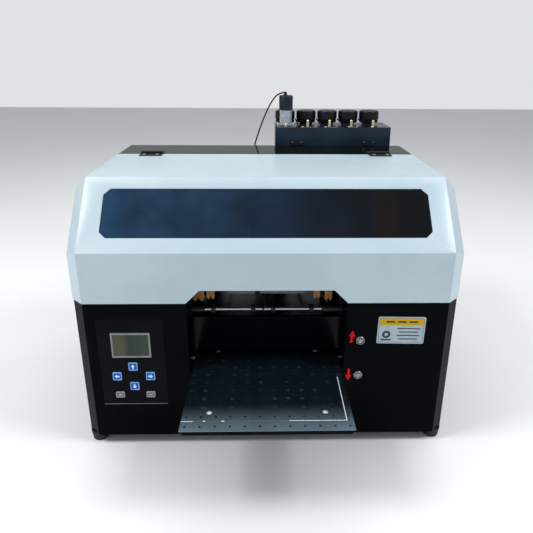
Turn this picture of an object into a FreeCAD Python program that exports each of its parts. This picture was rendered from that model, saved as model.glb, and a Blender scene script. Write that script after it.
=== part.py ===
import FreeCAD, Part
import math
import os

# Desktop flatbed UV printer.  Millimetres, +Z up, the front faces -Y.
# The origin is on the floor, at the middle of the whole machine's footprint box.

V = FreeCAD.Vector
X_AXIS = V(1, 0, 0)
Y_AXIS = V(0, 1, 0)
Z_AXIS = V(0, 0, 1)

# ---- housing -------------------------------------------------------------
tower_width = 214.0         # each front tower, beside the print channel
body_depth = 472.0          # front face to rear panel
roof_height = 532.0         # floor to the top panel
foot_height = 20.0
foot_radius = 18.0
foot_inset = 24.0           # foot centre behind the front face and before the rear one
sheet = 1.5                 # folded sheet steel
corner_chamfer = 22.0       # vertical front corners and long roof edges
tower_height = 314.0        # floor to the closed top of the front towers
tower_depth = 75.0          # front face to the open back of a tower
apron_height = 60.0         # floor to the top of the low wall under the platen
flange = 15.0               # turned-in edges that take the screws
seam = 0.4                  # gap between neighbouring covers
rear_roof_depth = 126.0     # hinge line to the rear panel
vent_starts = (-120.0, 60.0)
vent_length = 90.0
vent_rows = 8
vent_pitch = 14.0
vent_slot = 4.0
vent_height = 110.0         # floor to the lowest slot

# ---- hood ----------------------------------------------------------------
hood_overhang = 1.5         # hood side beyond the body side
hood_seam = 3.0             # tower top to the hood's lower edge
hood_band = 99.0            # height of the upright front under the slope
hood_slope_run = 104.5      # how far back the slope reaches
hood_chamfer = 24.0
hood_proud = 3.0            # hood front ahead of the body front
hinge_gap = 1.0             # each side of the hinge line
notch_inset = 25.0          # channel wall to the top of the cut-out over the platen
notch_rise = 26.0
window_side_margin = 61.5   # hood side to the window's clear opening
window_low = 30.0           # fold to the opening, along the slope
window_top_margin = 25.13   # opening to the upper fold, along the slope
window_corner = 12.5
window_lap = 8.0            # pane behind the sheet, each side
window_thickness = 3.0

# ---- hood hinges ---------------------------------------------------------
hinge_side_inset = 100.0    # body side to the middle of a hinge
hinge_length = 50.0
leaf_reach = 27.0           # hinge line to a leaf's far edge
leaf_thickness = 2.0
knuckle_radius = 3.5
knuckle_count = 5
knuckle_gap = 0.3
pin_radius = 2.0
leaf_screw_spread = 15.0    # hinge middle to a screw
leaf_screw_back = 16.2      # hinge line to the screws

# ---- platen and its drives -----------------------------------------------
platen_reach = 180.0        # platen's front edge ahead of the body front
platen_height = 173.0       # floor to the platen's top
hole_pitch = 25.0
hole_count = 12             # each way
hole_radius = 1.5
platen_side_margin = 8.0    # outer holes to the side edges
platen_end_margin = 12.0    # outer holes to the front and rear edges
platen_thickness = 4.0
platen_side_gap = 4.5       # platen to the channel walls
platen_screw_spread = 100.0  # half the screws' spacing, both ways
platen_screw_radius = 2.5
platen_screw_head = 5.0
platen_screw_head_height = 1.2
counterbore_gap = 0.5       # round a head, and above it
tray_thickness = 7.0
tray_inset = 4.0
block_height = 12.0         # tray underside to the lift plate
lift_plate_thickness = 5.0
lift_plate_inset = 10.0     # channel wall to the lift plate's side
lift_plate_front = 8.0      # behind the front face
lift_plate_back_gap = 47.0  # lift plate to the rear face: room for the platen's motor
rail_spread = 95.0          # middle plane to a platen rail
rail_width = 9.0
rail_height = 8.0
rail_block_length = 34.0
rail_block_places = (110.0, 45.0)  # before the platen's rear edge
screw_radius = 4.0          # both lead screws
running_clearance = 0.05
guide_rod_radius = 6.0
guide_rod_outset = 15.0     # channel wall to a rod
guide_rod_setback = 25.0    # tower back to the front rods, and lift plate rear to the rear ones
guide_rod_headroom = 17.0   # rods and lift screw above the platen's top
lift_screw_x = 90.0
lift_screw_back_gap = 32.0  # before the rear face
motor_side = 42.0
motor_length = 40.0
motor_corner = 4.0

# ---- print carriage ------------------------------------------------------
head_gap = 27.0             # print head above the platen
head_height = 15.0
carriage_front = 95.0       # behind the front face
carriage_half = 50.0
carriage_height = 120.0
carriage_wall = 4.0
carriage_park = 80.0        # gantry end to the parked carriage's middle
lamp_width = 40.0
lamp_depth = 60.0
gantry_front = 190.0        # behind the front face
gantry_bar_depth = 30.0
gantry_bar_height = 60.0
gantry_bar_lift = 75.0      # above the carriage's bottom
gantry_side_gap = 34.0      # body side to the crossbar's end
post_thickness = 6.0
post_front = 10.0           # post ahead of the crossbar
post_back = 20.0            # post behind the crossbar
gantry_rail_depth = 8.0
gantry_rail_height = 12.0
gantry_rail_lift = 24.0     # above the crossbar's bottom
pulley_inset = 30.0         # crossbar's end to a pulley
pulley_radius = 10.0
pulley_flange = 3.0
pulley_back = 245.0         # behind the front face
pulley_pin_radius = 2.5
belt_thickness = 1.5
belt_height = 8.0
belt_gap = 0.3

# ---- inside the print channel --------------------------------------------
shield_back = 47.0          # behind the front face
shield_thickness = 2.0
shield_lip = 8.0
shield_gap = 18.0           # above the platen
shield_height = 72.5
shaft_back = 62.0
shaft_gap = 10.0            # shaft's middle above the shield
shaft_radius = 4.0
collar_radius = 9.0
collar_width = 9.0
collar_places = (-106.0, -27.0, 12.5, 89.0)
clip_place = -7.0           # narrow ring
clip_width = 3.0
shaft_holders = (27.0, 41.0)  # length of the sleeve at the left wall and at the right one
holder_radius = 7.0

# ---- control panel -------------------------------------------------------
panel_bottom = 94.8
panel_width = 127.0
panel_height = 188.2
panel_outset = 3.4          # outwards of the tower's middle
panel_lap = 6.0
panel_thickness = 2.0
display_width = 75.0
display_height = 53.2
display_rise = 133.3        # panel bottom to the display's middle
display_border = 3.8
display_chin = 2.0          # extra border along the top
key_side = 17.0
key_cross_offset = 0.8     # key cross to the panel's middle
key_cross_rise = 64.6       # panel bottom to the key cross
key_spread_x = 32.3
key_spread_up = 21.7
key_spread_down = 22.6
small_key_height = 12.6
small_key_spread = 30.0
small_key_rise = 22.4
key_gap = 0.3
key_proud = 2.0             # ahead of the control panel's face
key_skirt = 1.0

# ---- table up and down buttons -------------------------------------------
button_inset = 29.0         # channel wall to the buttons
button_heights = (236.0, 159.0)
button_bezel_radius = 8.8
button_bezel_proud = 2.0
button_barrel_radius = 8.0
button_radius = 6.0
button_gap = 0.1
button_depth = 18.0
button_length = 13.0

# ---- ink station ---------------------------------------------------------
ink_box_height = 160.0
ink_box_rise = 46.0         # box top above the roof
ink_box_side_inset = 46.5   # body side to the box
ink_box_wall = 3.0
ink_box_back_margin = 8.5   # behind the caps
bottle_count = 5
bottle_spacing = 9.5        # between neighbouring tanks
bottle_side_gap = 1.0       # tank to the box wall
bottle_wall = 2.0
last_bottle_margin = 45.0   # last neck to the box's right end
neck_radius = 17.0
neck_wall = 3.0
neck_show = 13.0            # box top to the caps
cap_wall = 8.2
cap_height = 22.0
cap_roof = 4.0
cap_gap = 0.3
cap_spacing = 4.5
fitting_back = 8.0
fitting_radius = 4.3
fitting_bore = 2.8
fitting_height = 18.0
first_fitting_height = 9.0  # the one before the gearbox
stirrer_offset = 0.5        # right of the first neck
stirrer_gap = 0.7           # gearbox to the fittings
stirrer_cap_gap = 1.5       # gearbox to the caps
gearbox_radius = 15.5
gearbox_height = 37.0
stirrer_can_radius = 17.5
stirrer_can_height = 36.5
stirrer_plate_width = 44.0
stirrer_plate_front = 6.0
stirrer_plate_back = 17.0
stirrer_plate_thickness = 3.0
stirrer_shaft_radius = 2.0
paddle_half = 9.0
paddle_blade = 14.0
paddle_rise = 32.0          # box bottom to the paddle

# ---- stirrer wire --------------------------------------------------------
wire_radius = 1.8
gland_reach = 14.0
gland_drop = 86.0           # roof to the gland
gland_side_gap = 63.5       # ink box to the gland
boot_length = 9.0
boot_height = 9.0
boot_half_depth = 4.0

# From the motor's boot over to the left and down behind the rear edge to the gland.
wire_points = [
    V(44.0, 302.0, 660.0),
    V(30.0, 302.0, 657.5),
    V(14.0, 302.0, 638.0),
    V(-2.0, 302.0, 606.0),
    V(-16.0, 304.0, 570.0),
    V(-28.0, 310.0, 533.0),
    V(-36.0, 320.0, 500.0),
    V(-39.0, 322.0, 476.0),
    V(-40.0, 314.0, 457.0),
    V(-40.0, 300.0, 446.0),
    V(-40.0, 287.5, 446.0),
]

# ---- rear connections ----------------------------------------------------
inlet_side_inset = 64.0     # body side to the inlet's middle
inlet_height = 90.0
inlet_width = 50.0
inlet_tall = 62.0
inlet_flange = 3.0
inlet_depth = 28.0
socket_half = 12.0
socket_depth = 16.0
socket_drops = (24.0, 7.0)  # inlet middle to the socket's bottom and top
pin_places = ((-7.0, -13.0), (0.0, -18.0), (7.0, -13.0))
rocker_rise = 15.0          # inlet middle to the rocker
rocker_radius = 6.8
rocker_length = 20.0
rocker_gap = 0.4
rocker_set = 1.0            # pivot behind the rear face

# ---- electronics ---------------------------------------------------------
board_side_gap = 19.0       # body side to the boards
board_width = 120.0
board_depth = 85.0
board_back = 90.0           # behind the front face
board_thickness = 1.6
board_standoff = 8.0
board_hole_inset = 6.0
supply_width = 100.0
supply_height = 45.0
supply_gap = 10.0           # behind the gantry posts
supply_back_gap = 42.0      # before the rear face

# ---- fasteners -----------------------------------------------------------
screw_head_radius = 3.5
screw_head_height = 2.0
screw_shank_radius = 2.0
screw_shank_length = 5.0
side_screw_back = 120.0     # front face to the first side screw
rear_screw_gap = 60.0       # last side screw to the rear face
rear_screw_x = 100.0        # inner screws of the rear panel
roof_screw_gaps = (84.0, 80.0)  # from the body's left side, and from the gland

# ---- derived sizes and places --------------------------------------------
grid_span = (hole_count - 1) * hole_pitch
platen_width = grid_span + 2 * platen_side_margin
platen_length = grid_span + 2 * platen_end_margin
channel_half = platen_width / 2 + platen_side_gap
half = channel_half + tower_width

cap_radius = neck_radius + cap_gap + cap_wall
bottle_pitch = 2 * cap_radius + cap_spacing
bottle_width = bottle_pitch - bottle_spacing
first_bottle_margin = bottle_width / 2 + bottle_side_gap + ink_box_wall
ink_box_width = first_bottle_margin + (bottle_count - 1) * bottle_pitch + last_bottle_margin
ink_box_right = half - ink_box_side_inset
ink_box_left = ink_box_right - ink_box_width
first_bottle_x = ink_box_left + first_bottle_margin
stirrer_back = fitting_back + fitting_radius + stirrer_gap + gearbox_radius
bottle_back = stirrer_back + gearbox_radius + stirrer_cap_gap + cap_radius
ink_box_depth = bottle_back + cap_radius + ink_box_back_margin

overall_depth = platen_reach + body_depth + ink_box_depth
front = -overall_depth / 2 + platen_reach
rear = front + body_depth
floor_pan = foot_height + sheet

hood_half = half + hood_overhang
hood_edge_height = tower_height + hood_seam
hood_fold_height = hood_edge_height + hood_band
window_half = hood_half - window_side_margin
window_high = math.hypot(hood_slope_run, roof_height - hood_fold_height) - window_top_margin
notch_half = channel_half - notch_inset
hinge_spread = half - hinge_side_inset
hinge_y = rear - rear_roof_depth
hinge_z = roof_height + knuckle_radius

platen_front = front - platen_reach
platen_mid = platen_front + platen_length / 2
platen_back = platen_front + platen_length
tray_top = platen_height - platen_thickness
tray_bottom = tray_top - tray_thickness
lift_top = tray_bottom - block_height
lift_bottom = lift_top - lift_plate_thickness
lift_plate_half = channel_half - lift_plate_inset
lift_plate_rear = rear - lift_plate_back_gap
guide_rod_spread = channel_half + guide_rod_outset
guide_rod_top = platen_height + guide_rod_headroom
lift_screw_y = rear - lift_screw_back_gap
drive_screw_z = (tray_bottom + lift_top) / 2

gantry_half = half - gantry_side_gap
pulley_spread = gantry_half - pulley_inset
pulley_y = front + pulley_back
carriage_x = gantry_half - carriage_park
head_bottom = platen_height + head_gap
carriage_bottom = head_bottom + head_height
carriage_top = carriage_bottom + carriage_height
gantry_bar_bottom = carriage_bottom + gantry_bar_lift
gantry_bar_top = gantry_bar_bottom + gantry_bar_height
rail_bottom = gantry_bar_bottom + gantry_rail_lift
rail_top = rail_bottom + gantry_rail_height
bracket_top = gantry_bar_top + 2
belt_bottom = bracket_top + 3.5

shield_bottom = platen_height + shield_gap
shield_top = shield_bottom + shield_height
shaft_height = shield_top + shaft_gap

panel_centre_x = -(channel_half + tower_width / 2 + panel_outset)
display_centre_height = panel_bottom + display_rise
key_cross_x = panel_centre_x + key_cross_offset
key_cross_height = panel_bottom + key_cross_rise
small_key_centre = panel_bottom + small_key_rise
button_x = channel_half + button_inset

box_front = rear
ink_box_top = roof_height + ink_box_rise
ink_box_bottom = ink_box_top - ink_box_height
bottle_y = box_front + bottle_back
cap_bottom = ink_box_top + neck_show
cap_top = cap_bottom + cap_height
stirrer_x = first_bottle_x + stirrer_offset
stirrer_y = box_front + stirrer_back
gear_top = ink_box_top + stirrer_plate_thickness + gearbox_height
motor_top = gear_top + stirrer_can_height
paddle_height = ink_box_bottom + paddle_rise

gland_x = ink_box_left - gland_side_gap
gland_height = roof_height - gland_drop
gland_thread_radius = wire_radius + 4
inlet_x = -(half - inlet_side_inset)
rocker_height = inlet_height + rocker_rise


# ---- helpers -------------------------------------------------------------
def block(x0, x1, y0, y1, z0, z1):
    return Part.makeBox(x1 - x0, y1 - y0, z1 - z0, V(x0, y0, z0))


def rod(radius, length, start, axis=Z_AXIS):
    return Part.makeCylinder(radius, length, start, axis)


def prism(points, along):
    """Extrude the closed outline through points by the vector along."""
    face = Part.Face(Part.makePolygon(points + [points[0]]))
    return face.extrude(along)


def fuse(*solids):
    return solids[0].multiFuse(list(solids[1:])).removeSplitter()


def cut(solid, *tools):
    return solid.cut(list(tools))


def mirrored(solid):
    return solid.mirror(V(0, 0, 0), X_AXIS)


def group(solids):
    return Part.makeCompound(solids)


def inset_outline(points, distance):
    """Move each side of a convex, anticlockwise 2-D outline inwards."""
    moved = []
    count = len(points)
    for i in range(count):
        before = points[i - 1]
        here = points[i]
        after = points[(i + 1) % count]
        a = unit(here[0] - before[0], here[1] - before[1])
        b = unit(after[0] - here[0], after[1] - here[1])
        bend = 1 + a[0] * b[0] + a[1] * b[1]
        move_x = -(a[1] + b[1]) / bend
        move_y = (a[0] + b[0]) / bend
        moved.append((here[0] + distance * move_x, here[1] + distance * move_y))
    return moved


def unit(dx, dy):
    length = math.hypot(dx, dy)
    return dx / length, dy / length


# ---- housing -------------------------------------------------------------
def pan_outline(inset):
    c = corner_chamfer
    outline = [(-half + c, front), (half - c, front), (half, front + c),
               (half, rear), (-half, rear), (-half, front + c)]
    return inset_outline(outline, inset)


def base_pan():
    plate = prism([V(x, y, foot_height) for x, y in pan_outline(sheet)], V(0, 0, sheet))
    inner = half - sheet
    edge = floor_pan + flange
    y0 = front + tower_depth
    left = block(-inner, -inner + sheet, y0, rear - sheet, foot_height, edge)
    back = block(-inner, inner, rear - 2 * sheet, rear - sheet, foot_height, edge)
    apron = block(-channel_half, channel_half, front, front + sheet, foot_height, apron_height)
    apron_foot = block(-channel_half, channel_half, front, front + 2 * sheet,
                       foot_height, floor_pan)
    pan = fuse(plate, left, mirrored(left), back, apron, apron_foot)
    slot = block(channel_half, channel_half + sheet, front, front + tower_depth,
                 foot_height - 1, floor_pan + 1)
    return cut(pan, slot, mirrored(slot), *screw_holes())


def tower_box(inset, top):
    """One tower's outer (inset 0) or inner form, on the +X side."""
    c = corner_chamfer
    outline = [(channel_half, front + tower_depth + inset), (channel_half, front),
               (half - c, front), (half, front + c), (half, front + tower_depth + inset)]
    moved = inset_outline(outline, inset)
    return prism([V(x, y, foot_height) for x, y in moved], V(0, 0, top - foot_height))


def tower_cover():
    shell = tower_box(0, tower_height)
    return cut(shell, tower_box(sheet, tower_height - sheet))


def left_tower_cover():
    cover = mirrored(tower_cover())
    w = panel_width / 2
    opening = block(panel_centre_x - w, panel_centre_x + w, front - 1, front + sheet + 1,
                    panel_bottom, panel_bottom + panel_height)
    return cut(cover, opening)


def right_tower_cover():
    holes = []
    for z in button_heights:
        holes.append(rod(button_barrel_radius + button_gap, sheet + 2,
                         V(button_x, front - 1, z), Y_AXIS))
    return cut(tower_cover(), *holes)


def side_panel():
    """The +X side: low under the hood, full height behind the hinge line."""
    y0 = front + tower_depth + seam
    y1 = hinge_y + hinge_gap
    shoulder = roof_height - corner_chamfer - seam
    outline = [(y0, foot_height), (rear - sheet, foot_height), (rear - sheet, shoulder),
               (y1, shoulder), (y1, tower_height), (y0, tower_height)]
    wall = prism([V(half - sheet, y, z) for y, z in outline], V(sheet, 0, 0))
    lip = block(half - flange, half - sheet, y0, y1, tower_height - sheet, tower_height)
    return fuse(wall, lip)


def right_side_panel():
    return cut(side_panel(), *screw_holes())


def left_side_panel():
    return cut(mirrored(side_panel()), *screw_holes())


def top_panel():
    """Flat roof behind the hinge line with both long edges folded down."""
    y0 = hinge_y + hinge_gap
    length = rear - sheet - y0
    c = corner_chamfer
    low = roof_height - c
    step = sheet * math.tan(math.radians(22.5))
    outline = [(half, low), (half - c, roof_height), (-half + c, roof_height), (-half, low),
               (-half + sheet, low), (-half + sheet, low + step),
               (-half + c + step, roof_height - sheet),
               (half - c - step, roof_height - sheet), (half - sheet, low + step),
               (half - sheet, low)]
    roof = prism([V(x, y0, z) for x, z in outline], V(0, length, 0))
    w = half - corner_chamfer - flange
    z0 = roof_height - flange
    back = block(-w, w, rear - 2 * sheet, rear - sheet, z0, roof_height - sheet / 2)
    lip = block(-w, w, y0, y0 + sheet, z0, roof_height - sheet / 2)
    return cut(fuse(roof, back, lip), *screw_holes())


def rear_panel():
    c = corner_chamfer
    outline = [(-half, foot_height), (half, foot_height), (half, roof_height - c),
               (half - c, roof_height), (-half + c, roof_height), (-half, roof_height - c)]
    wall = prism([V(x, rear - sheet, z) for x, z in outline], V(0, sheet, 0))
    tools = screw_holes()
    w = inlet_width / 2 - inlet_flange
    h = inlet_tall / 2 - inlet_flange
    tools.append(block(inlet_x - w, inlet_x + w, rear - 3, rear + 1,
                       inlet_height - h, inlet_height + h))
    tools.append(rod(gland_thread_radius, 5, V(gland_x, rear - 3, gland_height), Y_AXIS))
    for x in vent_starts:
        for row in range(vent_rows):
            z = vent_height + vent_pitch * row
            tools.append(block(x, x + vent_length, rear - 3, rear + 1, z, z + vent_slot))
    return cut(wall, *tools)


def inner_shield():
    """Black panel that hides the print zone, with its top edge folded back."""
    y = front + shield_back
    w = channel_half
    t = shield_thickness
    face = block(-w, w, y, y + t, shield_bottom, shield_top)
    lip = block(-w, w, y, y + shield_lip, shield_top - t, shield_top)
    return fuse(face, lip)


def rubber_feet():
    feet = []
    for x in (-half + foot_radius, half - foot_radius):
        for y in (front + foot_inset, rear - foot_inset):
            foot = Part.makeCone(foot_radius - 2, foot_radius, foot_height, V(x, y, 0), Z_AXIS)
            feet.append(foot)
    return group(feet)


def screw_places():
    """Start point on the outer face and outward direction of each cover screw."""
    places = []
    z_low = floor_pan + flange / 2
    for y in (front + side_screw_back, (front + rear) / 2, rear - rear_screw_gap):
        places.append((V(half, y, z_low), X_AXIS))
        places.append((V(-half, y, z_low), -X_AXIS))
    for x in (inlet_x, -rear_screw_x, rear_screw_x, -inlet_x):
        places.append((V(x, rear, z_low), Y_AXIS))
    for x in (-half + roof_screw_gaps[0], gland_x - roof_screw_gaps[1]):
        places.append((V(x, rear, roof_height - flange / 2), Y_AXIS))
    for x in (-hinge_spread, hinge_spread):
        for dx in (-leaf_screw_spread, leaf_screw_spread):
            y = hinge_y + leaf_screw_back
            places.append((V(x + dx, y, roof_height + leaf_thickness), Z_AXIS))
    return places


def screw_holes():
    holes = []
    for place, out in screw_places():
        start = place + out * 1
        holes.append(rod(screw_shank_radius, screw_shank_length + 2, start, -out))
    return holes


def housing_screws():
    screws = []
    for place, out in screw_places():
        shank = rod(screw_shank_radius, screw_shank_length, place, -out)
        head = rod(screw_head_radius, screw_head_height, place, out)
        screws.append(fuse(shank, head))
    return group(screws)


# ---- hood ----------------------------------------------------------------
def hood_profile():
    """Front, slope and roof in (y, z), anticlockwise seen from +X."""
    y0 = front - hood_proud
    y1 = y0 + hood_slope_run
    y2 = hinge_y - hinge_gap
    return [(y0, hood_edge_height), (y2, hood_edge_height), (y2, roof_height),
            (y1, roof_height), (y0, hood_fold_height)]


def hood_solid(inset):
    """Hood form moved inwards by inset on its front, slope, roof, sides and chamfers."""
    profile = inset_outline(hood_profile(), inset)
    if inset:
        below = hood_edge_height - 5
        behind = hinge_y + 5
        profile[0] = (profile[0][0], below)
        profile[1] = (behind, below)
        profile[2] = (behind, profile[2][1])
    w = hood_half - inset
    bulk = prism([V(-w, y, z) for y, z in profile], V(2 * w, 0, 0))
    size = hood_chamfer - inset * (2 - math.sqrt(2))
    edges = []
    for edge in bulk.Edges:
        middle = edge.BoundBox.Center
        on_side = abs(abs(middle.x) - w) < 0.01
        at_bottom = abs(middle.z - profile[0][1]) < 0.01
        at_back = abs(middle.y - profile[1][0]) < 0.01
        if on_side and not at_bottom and not at_back:
            edges.append(edge)
    return bulk.makeChamfer(size, edges)


def window_frame():
    """Origin, up-slope direction and outward normal of the window's slope."""
    profile = hood_profile()
    low = V(0, profile[4][0], profile[4][1])
    high = V(0, profile[3][0], profile[3][1])
    up = (high - low).normalize()
    return low, up, X_AXIS.cross(up)


def window_prism(half_width, low, high, corner, start, depth):
    """Corner-cut plate on the slope; start and depth run along the inward normal."""
    origin, up, outward = window_frame()
    inward = -outward
    outline = [(-half_width + corner, low), (half_width - corner, low),
               (half_width, low + corner), (half_width, high - corner),
               (half_width - corner, high), (-half_width + corner, high),
               (-half_width, high - corner), (-half_width, low + corner)]
    base = origin + inward * start
    return prism([base + X_AXIS * x + up * s for x, s in outline], inward * depth)


def hood_shell():
    shell = cut(hood_solid(0), hood_solid(sheet))
    opening = window_prism(window_half, window_low, window_high, window_corner, -2, sheet + 4)
    y0 = front - hood_proud
    n = notch_half
    outline = [(-n - notch_rise - 1, hood_edge_height - 1), (n + notch_rise + 1, hood_edge_height - 1),
               (n, hood_edge_height + notch_rise), (-n, hood_edge_height + notch_rise)]
    notch = prism([V(x, y0 - 1, z) for x, z in outline], V(0, sheet + 2, 0))
    return cut(shell, opening, notch, *hood_screw_holes())


def hood_window():
    return window_prism(window_half + window_lap, window_low - window_lap,
                        window_high + window_lap, window_corner, sheet, window_thickness)


def hood_screw_holes():
    holes = []
    for place in hood_screw_places():
        holes.append(rod(screw_shank_radius, 8, place + Z_AXIS, -Z_AXIS))
    return holes


def hood_screw_places():
    places = []
    for x in (-hinge_spread, hinge_spread):
        for dx in (-leaf_screw_spread, leaf_screw_spread):
            places.append(V(x + dx, hinge_y - leaf_screw_back, roof_height + leaf_thickness))
    return places


# ---- hood hinges ---------------------------------------------------------
def knuckles(x_centre, first, bore):
    """Every other knuckle of one hinge, starting at the given one."""
    width = hinge_length / knuckle_count
    rings = []
    for i in range(first, knuckle_count, 2):
        x0 = x_centre - hinge_length / 2 + i * width + knuckle_gap / 2
        ring = rod(knuckle_radius, width - knuckle_gap, V(x0, hinge_y, hinge_z), X_AXIS)
        hole = rod(bore, width, V(x0 - 0.1, hinge_y, hinge_z), X_AXIS)
        rings.append((x0, width - knuckle_gap, ring, hole))
    return rings


def hinge_leaf(x_centre, side, first, bore):
    """One leaf; side is +1 towards the rear and -1 towards the hood."""
    clear = knuckle_radius + knuckle_gap
    near = hinge_y + side * clear
    far = hinge_y + side * leaf_reach
    w = hinge_length / 2
    leaf = block(x_centre - w, x_centre + w, min(near, far), max(near, far),
                 roof_height, roof_height + leaf_thickness)
    parts = [leaf]
    holes = []
    for x0, width, ring, hole in knuckles(x_centre, first, bore):
        tongue = block(x0, x0 + width, min(hinge_y, near), max(hinge_y, near),
                       roof_height, roof_height + leaf_thickness)
        parts += [ring, tongue]
        holes.append(hole)
    for dx in (-leaf_screw_spread, leaf_screw_spread):
        y = hinge_y + side * leaf_screw_back
        holes.append(rod(screw_shank_radius, 6, V(x_centre + dx, y, roof_height - 2)))
    return cut(fuse(*parts), *holes)


def hinge_leaves_fixed():
    return group([hinge_leaf(x, 1, 0, pin_radius) for x in (-hinge_spread, hinge_spread)])


def hinge_leaves_hood():
    bore = pin_radius + running_clearance
    leaves = []
    for x in (-hinge_spread, hinge_spread):
        leaves.append(hinge_leaf(x, -1, 1, bore))
    for place in hood_screw_places():
        head = rod(screw_head_radius, screw_head_height, place)
        shank = rod(screw_shank_radius, screw_shank_length, place, -Z_AXIS)
        leaves.append(fuse(head, shank))
    return group(leaves)


def hinge_pins():
    pins = []
    for x in (-hinge_spread, hinge_spread):
        pins.append(rod(pin_radius, hinge_length, V(x - hinge_length / 2, hinge_y, hinge_z), X_AXIS))
    return group(pins)


# ---- control panel -------------------------------------------------------
def key_places():
    """Name, x and height of the arrow keys and the two small keys."""
    return {
        "key_up": (key_cross_x, key_cross_height + key_spread_up),
        "key_down": (key_cross_x, key_cross_height - key_spread_down),
        "key_left": (key_cross_x - key_spread_x, key_cross_height),
        "key_right": (key_cross_x + key_spread_x, key_cross_height),
        "key_cancel": (key_cross_x - small_key_spread, small_key_centre),
        "key_confirm": (key_cross_x + small_key_spread, small_key_centre),
    }


def key_size(name):
    tall = small_key_height if name in ("key_cancel", "key_confirm") else key_side
    return key_side, tall


def control_panel():
    w = panel_width / 2 + panel_lap
    y0 = front + sheet
    plate = block(panel_centre_x - w, panel_centre_x + w, y0, y0 + panel_thickness,
                  panel_bottom - panel_lap, panel_bottom + panel_height + panel_lap)
    tools = []
    for name, (x, z) in key_places().items():
        wide, tall = key_size(name)
        dx = wide / 2 + key_gap
        dz = tall / 2 + key_gap
        tools.append(block(x - dx, x + dx, y0 - 1, y0 + panel_thickness + 1, z - dz, z + dz))
    return cut(plate, *tools)


def key(name):
    x, z = key_places()[name]
    wide, tall = key_size(name)
    y0 = front + sheet - key_proud
    y1 = front + sheet + panel_thickness + key_gap
    cap = block(x - wide / 2, x + wide / 2, y0, y1 + 1, z - tall / 2, z + tall / 2)
    rim = [edge for edge in cap.Edges if abs(edge.BoundBox.Center.y - y0) < 0.01]
    cap = cap.makeChamfer(0.8, rim)
    edge = key_skirt
    skirt = block(x - wide / 2 - edge, x + wide / 2 + edge, y1, y1 + 1.5,
                  z - tall / 2 - edge, z + tall / 2 + edge)
    stem = rod(3.0, 3.0, V(x, y1 + 1.5, z), Y_AXIS)
    return fuse(cap, skirt, stem)


def display_bezel():
    x = key_cross_x
    w = display_width / 2
    h = display_height / 2
    y0 = front + sheet - key_proud
    y1 = front + sheet
    z = display_centre_height
    frame = block(x - w, x + w, y0, y1, z - h, z + h)
    corners = [e for e in frame.Edges if abs(e.BoundBox.YLength - key_proud) < 0.01]
    frame = frame.makeFillet(2.0, corners)
    b = display_border
    opening = block(x - w + b, x + w - b, y0 - 1, y1 + 1, z - h + b, z + h - b - display_chin)
    return cut(frame, opening)


# ---- table buttons -------------------------------------------------------
def lift_button_bodies():
    bodies = []
    for z in button_heights:
        start = V(button_x, front - button_bezel_proud, z)
        bezel = rod(button_bezel_radius, button_bezel_proud, start, Y_AXIS)
        barrel = rod(button_barrel_radius, button_bezel_proud + button_depth, start, Y_AXIS)
        nut_face = V(button_x, front + sheet, z)
        nut = rod(button_barrel_radius + 3, 3, nut_face, Y_AXIS)
        bore = rod(button_radius + button_gap, button_bezel_proud + button_depth - 3,
                   start - Y_AXIS, Y_AXIS)
        bodies.append(cut(fuse(bezel, barrel, nut), bore))
    return group(bodies)


def lift_button(z):
    start = V(button_x, front - button_bezel_proud - 1.0, z)
    body = rod(button_radius, button_length, start, Y_AXIS)
    rim = [e for e in body.Edges if abs(e.BoundBox.Center.y - start.y) < 0.01]
    return body.makeFillet(0.5, rim)


# ---- platen --------------------------------------------------------------
def hole_grid():
    first = grid_span / 2
    places = []
    for i in range(hole_count):
        for j in range(hole_count):
            places.append((-first + i * hole_pitch, platen_mid - first + j * hole_pitch))
    return places


def platen_screw_grid():
    places = []
    for x in (-platen_screw_spread, platen_screw_spread):
        for dy in (-platen_screw_spread, platen_screw_spread):
            places.append((x, platen_mid + dy))
    return places


def platen():
    w = platen_width / 2
    plate = block(-w, w, platen_front, platen_front + platen_length, tray_top, platen_height)
    tools = []
    for x, y in hole_grid():
        tools.append(rod(hole_radius, platen_thickness + 2, V(x, y, tray_top - 1)))
    for x, y in platen_screw_grid():
        tools.append(rod(platen_screw_radius, platen_thickness + 2, V(x, y, tray_top - 1)))
        tools.append(rod(platen_screw_head + counterbore_gap, platen_thickness, V(x, y, screw_seat())))
    return cut(plate, *tools)


def screw_seat():
    return platen_height - counterbore_gap - platen_screw_head_height


def platen_screws():
    screws = []
    for x, y in platen_screw_grid():
        z = tray_top - 5
        shank = rod(platen_screw_radius, screw_seat() - z, V(x, y, z))
        head = rod(platen_screw_head, platen_screw_head_height, V(x, y, screw_seat()))
        screws.append(fuse(shank, head))
    return group(screws)


def rail_blocks():
    """Four bearing blocks under the tray's rear half, each astride its rail."""
    solids = []
    for side in (-1, 1):
        for place in rail_block_places:
            x = side * rail_spread
            y = platen_back - place
            end = y + rail_block_length
            gap = rail_width / 2 + key_gap
            wide = gap + 6
            body = block(x - wide, x + wide, y, end, lift_top + 2, tray_bottom)
            slot = block(x - gap, x + gap, y - 1, end + 1, lift_top, lift_top + rail_height + key_gap)
            solids.append(cut(body, slot))
    return solids


def platen_tray():
    w = platen_width / 2 - tray_inset
    y0 = platen_front + tray_inset
    y1 = platen_back - tray_inset
    tray = block(-w, w, y0, y1, tray_bottom, tray_top)
    nut = block(-12, 12, y1 - 40, y1 - 10, lift_top + 1, tray_bottom)
    solid = fuse(tray, nut, *rail_blocks())
    tools = [rod(screw_radius + running_clearance, 40, V(0, y1 - 45, drive_screw_z), Y_AXIS)]
    for x, y in platen_screw_grid():
        tools.append(rod(platen_screw_radius, 6, V(x, y, tray_top - 5)))
    return cut(solid, *tools)


def guide_rod_places():
    places = []
    for x in (-guide_rod_spread, guide_rod_spread):
        for y in (front + tower_depth + guide_rod_setback, lift_plate_rear - guide_rod_setback):
            places.append((x, y))
    return places


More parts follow.
